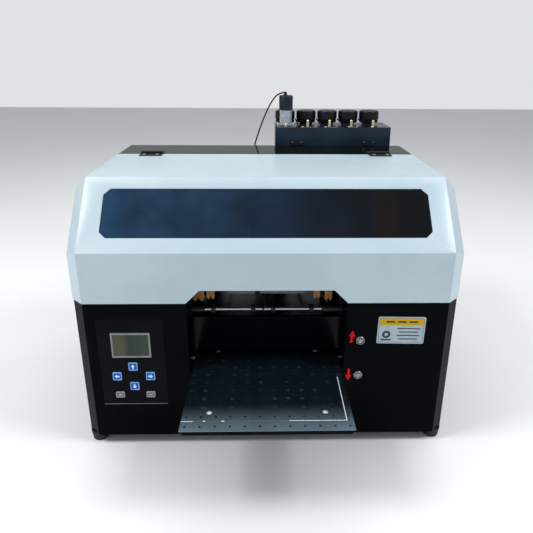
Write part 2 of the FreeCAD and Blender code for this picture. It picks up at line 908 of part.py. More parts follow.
def lift_frame():
    """Lift plate with its ears, bushes and nut, and the two platen rails on top."""
    y0 = front + lift_plate_front
    y1 = lift_plate_rear
    plate = block(-lift_plate_half, lift_plate_half, y0, y1, lift_bottom, lift_top)
    pieces = [plate]
    tools = []
    for x, y in guide_rod_places():
        reach = guide_rod_spread + 10
        pieces.append(block(-reach, reach, y - 15, y + 15, lift_bottom, lift_top))
        pieces.append(rod(guide_rod_radius + 4, 24, V(x, y, lift_top - 24)))
        tools.append(rod(guide_rod_radius + running_clearance, 30, V(x, y, lift_top - 27)))
    x = lift_screw_x
    y = lift_screw_y
    pieces.append(block(x - 15, x + 15, y1 - 5, y + 12, lift_bottom, lift_top))
    pieces.append(rod(screw_radius + 5, 20, V(x, y, lift_top - 20)))
    tools.append(rod(screw_radius + running_clearance, 30, V(x, y, lift_top - 25)))
    pieces.append(block(-motor_side / 2, motor_side / 2, y1 - 3, y1,
                        lift_bottom, drive_screw_z + motor_side / 2))
    tools.append(rod(12, 10, V(0, y1 - 6, drive_screw_z), Y_AXIS))
    tools.append(block(-12, 12, y1 - 40, y1 - 3, lift_bottom - 1, lift_top + 1))
    frame = cut(fuse(*pieces), *tools)
    rails = []
    for side in (-1, 1):
        x = side * rail_spread
        rails.append(block(x - rail_width / 2, x + rail_width / 2, y0 + 2, y1 - 6,
                           lift_top, lift_top + rail_height))
    return group([frame] + rails)


def platen_motor():
    w = motor_side / 2
    y0 = lift_plate_rear
    body = block(-w, w, y0, y0 + motor_length, drive_screw_z - w, drive_screw_z + w)
    long_edges = [e for e in body.Edges if abs(e.BoundBox.YLength - motor_length) < 0.01]
    return body.makeChamfer(motor_corner, long_edges)


def platen_drive_screw():
    y0 = front + lift_plate_front + 4
    return rod(screw_radius, lift_plate_rear - y0, V(0, y0, drive_screw_z), Y_AXIS)


def lift_guide_rods():
    rods = []
    for x, y in guide_rod_places():
        rods.append(rod(guide_rod_radius, guide_rod_top - floor_pan, V(x, y, floor_pan)))
    return group(rods)


def upright_motor(x, y, z0):
    w = motor_side / 2
    body = block(x - w, x + w, y - w, y + w, z0, z0 + motor_length)
    upright = [e for e in body.Edges if abs(e.BoundBox.ZLength - motor_length) < 0.01]
    return body.makeChamfer(motor_corner, upright)


def lift_motor():
    return upright_motor(lift_screw_x, lift_screw_y, floor_pan)


def lift_screw():
    z0 = floor_pan + motor_length
    return rod(screw_radius, guide_rod_top - z0, V(lift_screw_x, lift_screw_y, z0))


# ---- gantry and carriage -------------------------------------------------
def gantry():
    """Crossbar on two posts, end plates for the belt, and the carriage rail."""
    y0 = front + gantry_front
    y1 = y0 + gantry_bar_depth
    back = y1 + post_back
    bar = block(-gantry_half, gantry_half, y0, y1, gantry_bar_bottom, gantry_bar_top)
    pieces = [bar]
    w = motor_side / 2
    for side in (-1, 1):
        x0 = side * gantry_half
        x1 = side * (gantry_half + post_thickness)
        foot_x = side * (gantry_half - 25)
        x = side * pulley_spread
        pieces.append(block(min(x0, x1), max(x0, x1), y0 - post_front, back,
                            floor_pan, gantry_bar_top))
        pieces.append(block(min(foot_x, x1), max(foot_x, x1), y0 - post_front, back,
                            floor_pan, floor_pan + 4))
        pieces.append(block(x - w, x + w, y0, pulley_y + w, gantry_bar_top, bracket_top))
    pieces.append(rod(pulley_pin_radius, 15, V(-pulley_spread, pulley_y, bracket_top)))
    frame = fuse(*pieces)
    hole = rod(pulley_pin_radius + running_clearance, 5,
               V(pulley_spread, pulley_y, gantry_bar_top - 1))
    rail = block(-gantry_half + 10, gantry_half - 10, y0 - gantry_rail_depth, y0,
                 rail_bottom, rail_top)
    return group([cut(frame, hole), rail])


def carriage_motor():
    return upright_motor(pulley_spread, pulley_y, gantry_bar_top - motor_length)


def belt_pulley(x):
    """Flanged pulley that the belt runs round."""
    z0 = bracket_top + 2
    hub = rod(pulley_radius, belt_height + 3, V(x, pulley_y, z0))
    low = rod(pulley_radius + pulley_flange, 1, V(x, pulley_y, z0))
    high = rod(pulley_radius + pulley_flange, 1, V(x, pulley_y, z0 + belt_height + 2))
    return fuse(hub, low, high)


def carriage_drive_pulley():
    start = gantry_bar_top + 0.2
    shaft = rod(pulley_pin_radius, bracket_top + 2.2 - start, V(pulley_spread, pulley_y, start))
    return fuse(belt_pulley(pulley_spread), shaft)


def carriage_idler_pulley():
    bore = rod(pulley_pin_radius + running_clearance, 20, V(-pulley_spread, pulley_y, gantry_bar_top))
    return cut(belt_pulley(-pulley_spread), bore)


def stadium(radius, z0, height):
    y = pulley_y
    bar = block(-pulley_spread, pulley_spread, y - radius, y + radius, z0, z0 + height)
    left = rod(radius, height, V(-pulley_spread, y, z0))
    right = rod(radius, height, V(pulley_spread, y, z0))
    return fuse(bar, left, right)


def carriage_belt():
    inner = pulley_radius + belt_gap
    outer = stadium(inner + belt_thickness, belt_bottom, belt_height)
    return cut(outer, stadium(inner, belt_bottom - 1, belt_height + 2))


def carriage():
    """Open-fronted carriage box with its rail block and belt clamp."""
    gap = key_gap
    wall = carriage_wall
    rail_front = front + gantry_front - gantry_rail_depth
    x0 = carriage_x - carriage_half
    x1 = carriage_x + carriage_half
    y0 = front + carriage_front
    y1 = rail_front - 4
    box = block(x0, x1, y0, y1, carriage_bottom, carriage_top)
    well = block(x0 + wall, x1 - wall, y0 + wall, y1 - wall, carriage_bottom + 5, carriage_top + 1)
    block_end = front + gantry_front - gap
    rail_block = block(x0 + 15, x1 - 15, y1 - 1, block_end, rail_bottom - 10, rail_top + 10)
    slot = block(x0, x1, rail_front - gap, block_end + 1, rail_bottom - gap, rail_top + gap)
    low = bracket_top + 0.5
    top = belt_bottom + belt_height
    near = pulley_y - pulley_radius - belt_gap - belt_thickness
    far = near + belt_thickness + gap
    w = 12
    riser = block(carriage_x - w, carriage_x + w, y1 - wall, y1 + 2, carriage_top - 5, low + 2)
    arm = block(carriage_x - w, carriage_x + w, y1 - wall, far + wall, low, low + 2)
    near_jaw = block(carriage_x - w, carriage_x + w, near - gap - wall, near - gap, low, top)
    far_jaw = block(carriage_x - w, carriage_x + w, far, far + wall, low, top)
    return cut(fuse(cut(box, well), rail_block, riser, arm, near_jaw, far_jaw), slot)


def print_head():
    y0 = front + carriage_front + 12
    nose_top = head_bottom + 3
    body = block(carriage_x - 30, carriage_x + 30, y0, y0 + 45, nose_top, carriage_bottom)
    nose = block(carriage_x - 24, carriage_x + 24, y0 + 6, y0 + 39, head_bottom, nose_top)
    return fuse(body, nose)


def uv_lamp():
    x1 = carriage_x - carriage_half
    x0 = x1 - lamp_width
    y0 = front + carriage_front + 5
    y1 = y0 + lamp_depth
    body = block(x0, x1, y0, y1, head_bottom + 5, gantry_bar_bottom + 10)
    fins = []
    for i in range(5):
        z = carriage_bottom + 15 + i * 13
        fins.append(block(x0 - 1, x0 + 8, y0 - 1, y1 + 1, z, z + 5))
    return cut(body, *fins)


def capping_station():
    x = carriage_x
    y0 = front + carriage_front + 8
    tray_low = head_bottom - 40
    tray_high = head_bottom - 20
    column = block(x - 15, x + 15, y0 + 12, y0 + 42, floor_pan, tray_low)
    tray = block(x - 38, x + 38, y0, y0 + 54, tray_low, tray_high)
    lip = block(x - 26, x + 26, y0 + 8, y0 + 46, tray_high, head_bottom - 1)
    pocket = block(x - 22, x + 22, y0 + 12, y0 + 42, head_bottom - 12, head_bottom)
    return cut(fuse(column, tray, lip), pocket)


def cross_shaft():
    """Bright shaft across the channel with its black collars."""
    y = front + shaft_back
    start = V(-channel_half, y, shaft_height)
    shaft = rod(shaft_radius, 2 * channel_half, start, X_AXIS)
    solids = [shaft]
    rings = [(x, collar_width, collar_radius) for x in collar_places]
    rings.append((clip_place, clip_width, collar_radius))
    left, right = shaft_holders
    rings.append((-channel_half + left / 2, left, holder_radius))
    rings.append((channel_half - right / 2, right, holder_radius))
    for x, width, radius in rings:
        ring = rod(radius, width, V(x - width / 2, y, shaft_height), X_AXIS)
        solids.append(cut(ring, shaft))
    return group(solids)


# ---- electronics ---------------------------------------------------------
def electronics():
    """Power supply, main board on standoffs, display module and key board."""
    x0 = -half + board_side_gap
    y0 = front + gantry_front + gantry_bar_depth + post_back + supply_gap
    supply = block(x0, x0 + supply_width, y0, rear - supply_back_gap,
                   floor_pan, floor_pan + supply_height)
    y0 = front + board_back
    z0 = floor_pan + board_standoff
    t = board_thickness
    edge = board_hole_inset
    pieces = [block(x0, x0 + board_width, y0, y0 + board_depth, z0, z0 + t)]
    for dx in (edge, board_width - edge):
        for dy in (edge, board_depth - edge):
            pieces.append(rod(3, board_standoff, V(x0 + dx, y0 + dy, floor_pan)))
    main_board = fuse(*pieces)
    w = panel_width / 2
    y_key = front + 12
    key_board = block(panel_centre_x - w, panel_centre_x + w, y_key, y_key + t,
                      panel_bottom + 2, panel_bottom + 100)
    w = display_width / 2 - 1.5
    h = display_height / 2 - 1.35
    display = block(key_cross_x - w, key_cross_x + w, front + sheet + panel_thickness,
                    front + 10, display_centre_height - h, display_centre_height + h)
    return group([supply, main_board, key_board, display])


def power_inlet():
    w = inlet_width / 2
    h = inlet_tall / 2
    f = inlet_flange
    plate = block(inlet_x - w, inlet_x + w, rear, rear + f, inlet_height - h, inlet_height + h)
    body = block(inlet_x - w + f, inlet_x + w - f, rear - inlet_depth, rear,
                 inlet_height - h + f, inlet_height + h - f)
    socket = block(inlet_x - socket_half, inlet_x + socket_half, rear - socket_depth, rear + 5,
                   inlet_height - socket_drops[0], inlet_height - socket_drops[1])
    pins = []
    for dx, dz in pin_places:
        x = inlet_x + dx
        z = inlet_height + dz
        pins.append(block(x - 1, x + 1, rear - socket_depth - 1, rear - 2, z - 2, z + 2))
    gap = rocker_gap
    start = inlet_x - rocker_length / 2 - gap
    length = rocker_length + 2 * gap
    r = rocker_radius + gap
    well = rod(r, length, V(start, rear - rocker_set, rocker_height), X_AXIS)
    mouth = block(start, start + length, rear - rocker_set, rear + 5,
                  rocker_height - r, rocker_height + r)
    return fuse(cut(fuse(plate, body), socket, well, mouth), *pins)


def power_switch():
    """Rocker: a drum on its pivot line with a two-sloped front."""
    z = rocker_height
    y = rear - rocker_set
    r = rocker_radius
    start = V(inlet_x - rocker_length / 2, y, z)
    drum = rod(r, rocker_length, start, X_AXIS)
    slope = math.tan(math.radians(7)) * r
    proud = 4.5
    outline = [(y, z - r), (rear + proud, z - r), (rear + proud - 2 * slope, z),
               (rear + proud - 2, z + r), (y, z + r)]
    face = prism([V(start.x, py, pz) for py, pz in outline], V(rocker_length, 0, 0))
    return fuse(drum, face.common(drum))


# ---- ink station ---------------------------------------------------------
def bottle_xs():
    return [first_bottle_x + i * bottle_pitch for i in range(bottle_count)]


def ink_box():
    t = ink_box_wall
    x0 = ink_box_left
    x1 = ink_box_right
    y1 = box_front + ink_box_depth
    outer = block(x0, x1, box_front, y1, ink_box_bottom, ink_box_top)
    inner = block(x0 + t, x1 - t, box_front + t, y1 - t, ink_box_bottom + t, ink_box_top - t)
    tools = [inner]
    for x in bottle_xs():
        tools.append(rod(neck_radius + cap_gap, 10, V(x, bottle_y, ink_box_top - 6)))
    for x in bottle_xs():
        tools.append(rod(fitting_bore, 10, V(x, box_front + fitting_back, ink_box_top - 6)))
    tools.append(rod(stirrer_shaft_radius + 2, 10, V(stirrer_x, stirrer_y, ink_box_top - 6)))
    return cut(outer, *tools)


def ink_bottles():
    """Five tanks: rectangular body, flat shoulder and a round open neck."""
    bottles = []
    t = bottle_wall
    z0 = ink_box_bottom + ink_box_wall
    z1 = ink_box_top - ink_box_wall
    y0 = box_front + fitting_back + fitting_radius + 0.2
    y1 = box_front + ink_box_depth - ink_box_wall - 1
    for number, x in enumerate(bottle_xs()):
        w = bottle_width / 2
        body = block(x - w, x + w, y0, y1, z0, z1)
        neck = rod(neck_radius, cap_top - cap_roof - cap_gap - z1, V(x, bottle_y, z1))
        cavity = block(x - w + t, x + w - t, y0 + t, y1 - t, z0 + t, z1 - t)
        mouth = rod(neck_radius - neck_wall, cap_top - z1, V(x, bottle_y, z1 - t - 1))
        tools = [cavity, mouth]
        if number == 0:
            tools.append(rod(stirrer_shaft_radius + 2, 10, V(stirrer_x, stirrer_y, z1 - 5)))
        bottles.append(cut(fuse(body, neck), *tools))
    return group(bottles)


def ink_cap(x):
    outer = rod(cap_radius, cap_height, V(x, bottle_y, cap_bottom))
    top = [e for e in outer.Edges if abs(e.BoundBox.Center.z - cap_top) < 0.01]
    outer = outer.makeFillet(1.5, top)
    bore = rod(neck_radius + cap_gap, cap_height - cap_roof, V(x, bottle_y, cap_bottom - 0.001))
    return cut(outer, bore)


def ink_fittings():
    fittings = []
    for number, x in enumerate(bottle_xs()):
        place = V(x, box_front + fitting_back, ink_box_top)
        tall = fitting_height if number else first_fitting_height
        body = rod(fitting_radius, tall - 4, place)
        tip = rod(fitting_bore + 0.3, tall, place)
        stem = rod(fitting_bore, ink_box_wall + 4, place, -Z_AXIS)
        fittings.append(fuse(body, tip, stem))
    return group(fittings)


def stirrer_motor():
    """Flange plate, gearbox, motor can and the boot that grips the wire."""
    z0 = ink_box_top
    w = stirrer_plate_width / 2
    z1 = z0 + stirrer_plate_thickness
    plate = block(stirrer_x - w, stirrer_x + w, stirrer_y - stirrer_plate_front,
                  stirrer_y + stirrer_plate_back, z0, z1)
    gearbox = rod(gearbox_radius, gear_top - z1, V(stirrer_x, stirrer_y, z1))
    hole = rod(stirrer_shaft_radius + running_clearance, 20, V(stirrer_x, stirrer_y, z0 - 1))
    housing = cut(fuse(plate, gearbox), hole)
    can = rod(stirrer_can_radius, stirrer_can_height, V(stirrer_x, stirrer_y, gear_top))
    boot = block(stirrer_x - 7, stirrer_x - 7 + boot_length, stirrer_y - boot_half_depth,
                 stirrer_y + boot_half_depth, motor_top, motor_top + boot_height)
    return group([housing, can, boot])


def stirrer_paddle():
    z1 = ink_box_top + 17
    shaft = rod(stirrer_shaft_radius, z1 - paddle_height, V(stirrer_x, stirrer_y, paddle_height))
    blade = block(stirrer_x - paddle_half, stirrer_x + paddle_half, stirrer_y - 1, stirrer_y + 1,
                  paddle_height, paddle_height + paddle_blade)
    return fuse(shaft, blade)


# ---- wire ----------------------------------------------------------------
def swept_route(points, radius):
    """Straight runs joined by the largest tangent arcs that the runs allow."""
    edges = []
    start = points[0]
    for i in range(1, len(points) - 1):
        here = points[i]
        back = points[i - 1] - here
        ahead = points[i + 1] - here
        shorter = min(back.Length, ahead.Length)
        turn = math.pi - back.getAngle(ahead)
        reach = 0.45 * shorter
        bend = reach / math.tan(turn / 2)
        print("wire bend", i, "radius", round(bend, 1), "turn", round(math.degrees(turn), 1))
        back.normalize()
        ahead.normalize()
        first = here + back * reach
        last = here + ahead * reach
        inward = (back + ahead).normalize()
        centre_distance = bend / math.cos(turn / 2)
        middle = here + inward * (centre_distance - bend)
        edges.append(Part.LineSegment(start, first).toShape())
        edges.append(Part.Arc(first, middle, last).toShape())
        start = last
    edges.append(Part.LineSegment(start, points[-1]).toShape())
    path = Part.Wire(edges)
    direction = points[1] - points[0]
    circle = Part.Wire(Part.Circle(points[0], direction, radius).toShape())
    tube = path.makePipeShell([circle], True, False)
    print("wire length", round(path.Length, 1), "volume ratio",
          round(tube.Volume / (path.Length * math.pi * radius ** 2), 4))
    return tube


def stirrer_wire():
    return swept_route(wire_points, wire_radius)


def wire_gland():
    """Cable gland: thread through the rear panel, nut and a domed clamp."""
    start = V(gland_x, rear, gland_height)
    thread = rod(gland_thread_radius, sheet + 6, start - Y_AXIS * (sheet + 6), Y_AXIS)
    nut = rod(gland_thread_radius + 3, 4, start, Y_AXIS)
    dome = Part.makeCone(gland_thread_radius + 1.5, wire_radius + 2, gland_reach - 4,
                         start + Y_AXIS * 4, Y_AXIS)
    return fuse(thread, nut, dome)


# ---- build ---------------------------------------------------------------
def all_nodes():
    nodes = {
        "base_pan": base_pan(),
        "left_tower_cover": left_tower_cover(),
        "right_tower_cover": right_tower_cover(),
        "left_side_panel": left_side_panel(),
        "right_side_panel": right_side_panel(),
        "rear_panel": rear_panel(),
        "top_panel": top_panel(),
        "inner_shield": inner_shield(),
        "rubber_feet": rubber_feet(),
        "housing_screws": housing_screws(),
        "control_panel": control_panel(),
        "display_bezel": display_bezel(),
        "lift_button_bodies": lift_button_bodies(),
        "lift_button_up": lift_button(button_heights[0]),
        "lift_button_down": lift_button(button_heights[1]),
        "hinge_leaves_fixed": hinge_leaves_fixed(),
        "hinge_leaves_hood": hinge_leaves_hood(),
        "hinge_pins": hinge_pins(),
        "hood_shell": hood_shell(),
        "hood_window": hood_window(),
        "gantry": gantry(),
        "carriage_motor": carriage_motor(),
        "carriage_belt": carriage_belt(),
        "carriage_drive_pulley": carriage_drive_pulley(),
        "carriage_idler_pulley": carriage_idler_pulley(),
        "carriage": carriage(),
        "print_head": print_head(),
        "uv_lamp": uv_lamp(),
        "capping_station": capping_station(),
        "cross_shaft": cross_shaft(),
        "platen": platen(),
        "platen_tray": platen_tray(),
        "platen_screws": platen_screws(),
        "platen_motor": platen_motor(),
        "platen_drive_screw": platen_drive_screw(),
        "lift_frame": lift_frame(),
        "lift_guide_rods": lift_guide_rods(),
        "lift_motor": lift_motor(),
        "lift_screw": lift_screw(),
        "electronics": electronics(),
        "power_inlet": power_inlet(),
        "power_switch": power_switch(),
        "ink_box": ink_box(),
        "ink_bottles": ink_bottles(),
        "ink_fittings": ink_fittings(),
        "stirrer_motor": stirrer_motor(),
        "stirrer_paddle": stirrer_paddle(),
        "stirrer_wire": stirrer_wire(),
        "wire_gland": wire_gland(),
    }
    for name in key_places():
        nodes[name] = key(name)
    for number, x in enumerate(bottle_xs(), 1):
        nodes["ink_cap_%d" % number] = ink_cap(x)
    return nodes


os.makedirs("parts", exist_ok=True)
for node, shape in all_nodes().items():
    if not shape.isValid():
        print("invalid", node)
    shape.exportStep("parts/%s.step" % node)
    box = shape.BoundBox
    print("%-24s solids %2d  x %7.1f %7.1f  y %7.1f %7.1f  z %6.1f %6.1f"
          % (node, len(shape.Solids), box.XMin, box.XMax, box.YMin, box.YMax, box.ZMin, box.ZMax))
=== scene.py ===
import math
import bmesh
import bpy
from mathutils import Matrix, Vector


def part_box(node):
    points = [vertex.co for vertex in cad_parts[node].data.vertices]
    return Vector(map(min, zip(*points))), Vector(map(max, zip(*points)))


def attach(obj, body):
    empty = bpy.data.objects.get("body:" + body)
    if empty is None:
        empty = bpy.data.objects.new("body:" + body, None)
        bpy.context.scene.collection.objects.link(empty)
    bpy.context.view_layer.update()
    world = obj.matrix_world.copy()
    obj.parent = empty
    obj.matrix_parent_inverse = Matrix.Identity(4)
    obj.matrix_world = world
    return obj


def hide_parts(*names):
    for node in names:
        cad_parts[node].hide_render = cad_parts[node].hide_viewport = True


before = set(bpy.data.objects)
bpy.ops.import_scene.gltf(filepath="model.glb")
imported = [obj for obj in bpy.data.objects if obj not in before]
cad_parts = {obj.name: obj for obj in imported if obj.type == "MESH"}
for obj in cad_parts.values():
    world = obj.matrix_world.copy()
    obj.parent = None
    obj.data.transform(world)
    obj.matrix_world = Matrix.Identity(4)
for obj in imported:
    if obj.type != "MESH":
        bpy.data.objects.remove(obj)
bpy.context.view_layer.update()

mm = 0.001
smoothBelow = math.radians(32)  # edges flatter than this are shaded smooth
print("frame loaded:", len(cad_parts), "nodes")


def corners(node):
    # low and high corner of a CAD node, in mm
    return [Vector(corner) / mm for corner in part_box(node)]


def nothingSelected():
    bpy.ops.object.select_all(action="DESELECT")


def pick(*objs):
    nothingSelected()
    for obj in objs:
        obj.select_set(True)
    bpy.context.view_layer.objects.active = objs[0]


def startEdit(obj, mode="FACE", action="DESELECT"):
    pick(obj)
    bpy.ops.object.mode_set(mode="EDIT")
    bpy.ops.mesh.select_mode(type=mode)
    bpy.ops.mesh.select_all(action=action)


def endEdit():
    bpy.ops.object.mode_set(mode="OBJECT")


def selectWhere(obj, kind, wanted):
    # kind is faces or verts; wanted gets the place in metres and the normal of each
    data = bmesh.from_edit_mesh(obj.data)
    for part in getattr(data, kind):
        place = part.co if kind == "verts" else part.calc_center_median()
        part.select_set(wanted(place, part.normal))
    data.select_flush_mode()
    bmesh.update_edit_mesh(obj.data)


def bakePlace(obj):
    pick(obj)
    bpy.ops.object.transform_apply(location=True, rotation=True, scale=True)


def smoothShaded(obj):
    pick(obj)
    bpy.ops.object.shade_smooth_by_angle(angle=smoothBelow)
    return obj


def joined(name, pieces):
    pick(*pieces)
    if len(pieces) > 1:
        bpy.ops.object.join()
    obj = bpy.context.view_layer.objects.active
    obj.name = name
    obj.data.name = name
    return obj


def copied(obj, name, move):
    twin = obj.copy()
    twin.data = obj.data.copy()
    twin.name = name
    bpy.context.collection.objects.link(twin)
    twin.location = Vector(move) * mm
    bakePlace(twin)
    return twin


def repeated(master, places):
    # copies of one model, which was made at the origin and is then taken away
    copies = [copied(master, master.name, place) for place in places]
    bpy.data.objects.remove(master)
    return copies


def paint(obj, material):
    obj.data.materials.clear()
    obj.data.materials.append(bpy.data.materials[material])
    return obj


def boxPiece(name, low, high, material, soft=0.4, segments=2):
    # a block between two corners in mm, its edges rounded by soft
    low = Vector(low) * mm
    high = Vector(high) * mm
    nothingSelected()
    bpy.ops.mesh.primitive_cube_add(size=1, location=(low + high) / 2)
    obj = bpy.context.object
    obj.name = name
    obj.scale = high - low
    bakePlace(obj)
    startEdit(obj, "EDGE", "SELECT")
    bpy.ops.mesh.bevel(offset=soft * mm, segments=segments, affect="EDGES")
    endEdit()
    return paint(obj, material)


def newMesh(name, points, edges, faces):
    data = bpy.data.meshes.new(name)
    data.from_pydata(points, edges, faces)
    obj = bpy.data.objects.new(name, data)
    bpy.context.collection.objects.link(obj)
    return obj


def turned(name, profile, material, place=(0, 0, 0), axis="Z", sides=40):
    # a lathe form: profile is (radius, height) in mm, from the pole at place along axis
    points = [(r * mm, 0, h * mm) for r, h in profile]
    obj = newMesh(name, points, [(i, i + 1) for i in range(len(points) - 1)], [])
    startEdit(obj, "VERT", "SELECT")
    bpy.ops.mesh.spin(steps=sides, angle=2 * math.pi, center=(0, 0, 0), axis=(0, 0, 1))
    bpy.ops.mesh.select_all(action="SELECT")
    bpy.ops.mesh.remove_doubles(threshold=0.000002)
    bpy.ops.mesh.normals_make_consistent(inside=False)
    endEdit()
    quarter = math.pi / 2
    turns = {"Z": (0, 0, 0), "X": (0, quarter, 0), "-X": (0, -quarter, 0),
             "Y": (-quarter, 0, 0), "-Y": (quarter, 0, 0)}
    obj.rotation_euler = turns[axis]
    obj.location = Vector(place) * mm
    bakePlace(obj)
    return paint(smoothShaded(obj), material)


def flatShape(name, outline, thickness, place, material, right=(1, 0, 0), up=(0, 0, 1)):
    # a plate from an outline in mm on the plane of right and up, its thickness in front of that plane
    right = Vector(right)
    up = Vector(up)
    points = [(Vector(place) + right * x + up * y) * mm for x, y in outline]
    obj = newMesh(name, points, [], [list(range(len(points)))])
    startEdit(obj, "FACE", "SELECT")
    out = right.cross(up) * thickness * mm
    bpy.ops.mesh.extrude_region_move(TRANSFORM_OT_translate={"value": out})
    bpy.ops.mesh.select_all(action="SELECT")
    bpy.ops.mesh.normals_make_consistent(inside=False)
    endEdit()
    return paint(obj, material)


def circleOutline(radius, sides):
    angles = [2 * math.pi * i / sides for i in range(sides)]
    return [(radius * math.cos(angle), radius * math.sin(angle)) for angle in angles]


def roundedOutline(width, height, radius, steps=5):
    points = []
    for sx, sy, start in ((1, 1, 0), (-1, 1, 90), (-1, -1, 180), (1, -1, 270)):
        for i in range(steps + 1):
            angle = math.radians(start + 90 * i / steps)
            points.append((sx * (width / 2 - radius) + radius * math.cos(angle),
                           sy * (height / 2 - radius) + radius * math.sin(angle)))
    return points


def fourCorners(node, inset, z):
    # a place near each corner of a CAD node, seen from above
    low, high = corners(node)
    return [(x, y, z) for x in (low.x + inset, high.x - inset) for y in (low.y + inset, high.y - inset)]


def panScrew(name, radius, height, shank, material, place=(0, 0, 0), axis="Z"):
    # low domed head with a recess and a short shank
    r = radius
    return turned(name, [(0, -shank), (r * 0.5, -shank), (r * 0.5, 0), (r, 0), (r, height * 0.35),
                         (r * 0.8, height * 0.85), (r * 0.42, height), (r * 0.4, height * 0.3),
                         (0, height * 0.3)], material, place, axis, 24)


def softEdges(node, width):
    # folded and cut edges of a CAD node, rounded by width in mm
    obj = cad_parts[node]
    weld = obj.modifiers.new("weld", "WELD")
    weld.merge_threshold = 0.00001
    flat = obj.modifiers.new("flat", "DECIMATE")
    flat.decimate_type = "DISSOLVE"
    flat.angle_limit = math.radians(0.3)
    bevel = obj.modifiers.new("bevel", "BEVEL")
    bevel.width = width * mm
    bevel.segments = 2
    bevel.limit_method = "ANGLE"
    bevel.angle_limit = math.radians(30)
    bevel.use_clamp_overlap = True


def nodeMaterial(material, obj):
    if not obj.material_slots:
        obj.data.materials.append(material)
    for slot in obj.material_slots:
        slot.material = material


def settle(obj, body, slot, *nodes):
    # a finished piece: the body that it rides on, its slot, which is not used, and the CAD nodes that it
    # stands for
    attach(obj, body)
    if nodes:
        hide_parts(*nodes)


def colour(text):
    # sRGB hex to the linear values that the shaders use
    parts = [int(text[i:i + 2], 16) / 255 for i in (1, 3, 5)]
    return [p / 12.92 if p <= 0.04045 else ((p + 0.055) / 1.055) ** 2.4 for p in parts] + [1]


def addNode(tree, kind, settings=None, links=None):
    # a link comes from a socket, or from a node and then from its first live output
    node = tree.nodes.new("ShaderNode" + kind)
    for key, value in (settings or {}).items():
        if isinstance(key, int) or key in node.inputs:
            node.inputs[key].default_value = value
        else:
            setattr(node, key, value)
    for key, source in (links or {}).items():
        if isinstance(source, bpy.types.Node):
            source = next(out for out in source.outputs if out.enabled)
        tree.links.new(source, node.inputs[key])
    return node


def newMaterial(name):
    material = bpy.data.materials.new(name)
    material.use_nodes = True
    tree = material.node_tree
    tree.nodes.clear()
    return tree, addNode(tree, "TexCoord").outputs["Object"]


def finish(name, look, stretch=(1, 1, 1)):
    # one surface: two tones in soft blotches, uneven gloss, and a fine grain that stands up from it.
    # stretch draws the grain out along an axis, as grinding and milling do
    base, second, blotchSize, grainSize, depth, roughLow, roughHigh, sockets = look
    tree, place = newMaterial(name)
    blotch = addNode(tree, "TexNoise", {"Scale": 1000 / blotchSize, "Detail": 4.0, "Roughness": 0.55},
                     {"Vector": place})
    spread = addNode(tree, "MapRange", {"From Min": 0.35, "From Max": 0.65}, {"Value": blotch})
    tones = addNode(tree, "Mix", {"data_type": "RGBA", 6: colour(base), 7: colour(second)}, {0: spread})
    drawn = addNode(tree, "Mapping", {"Scale": stretch}, {"Vector": place})
    grain = addNode(tree, "TexNoise", {"Scale": 1000 / grainSize, "Detail": 3.0, "Roughness": 0.6},
                    {"Vector": drawn})
    gloss = addNode(tree, "Math", {"operation": "ADD"}, {0: blotch, 1: grain})
    rough = addNode(tree, "MapRange", {"From Min": 0.7, "From Max": 1.3, "To Min": roughLow,
                                       "To Max": roughHigh}, {"Value": gloss})
    bump = addNode(tree, "Bump", {"Strength": 0.3, "Distance": depth * mm}, {"Height": grain})
    shader = addNode(tree, "BsdfPrincipled", sockets,
                     {"Base Color": tones, "Roughness": rough, "Normal": bump})
    addNode(tree, "OutputMaterial", {}, {"Surface": shader})


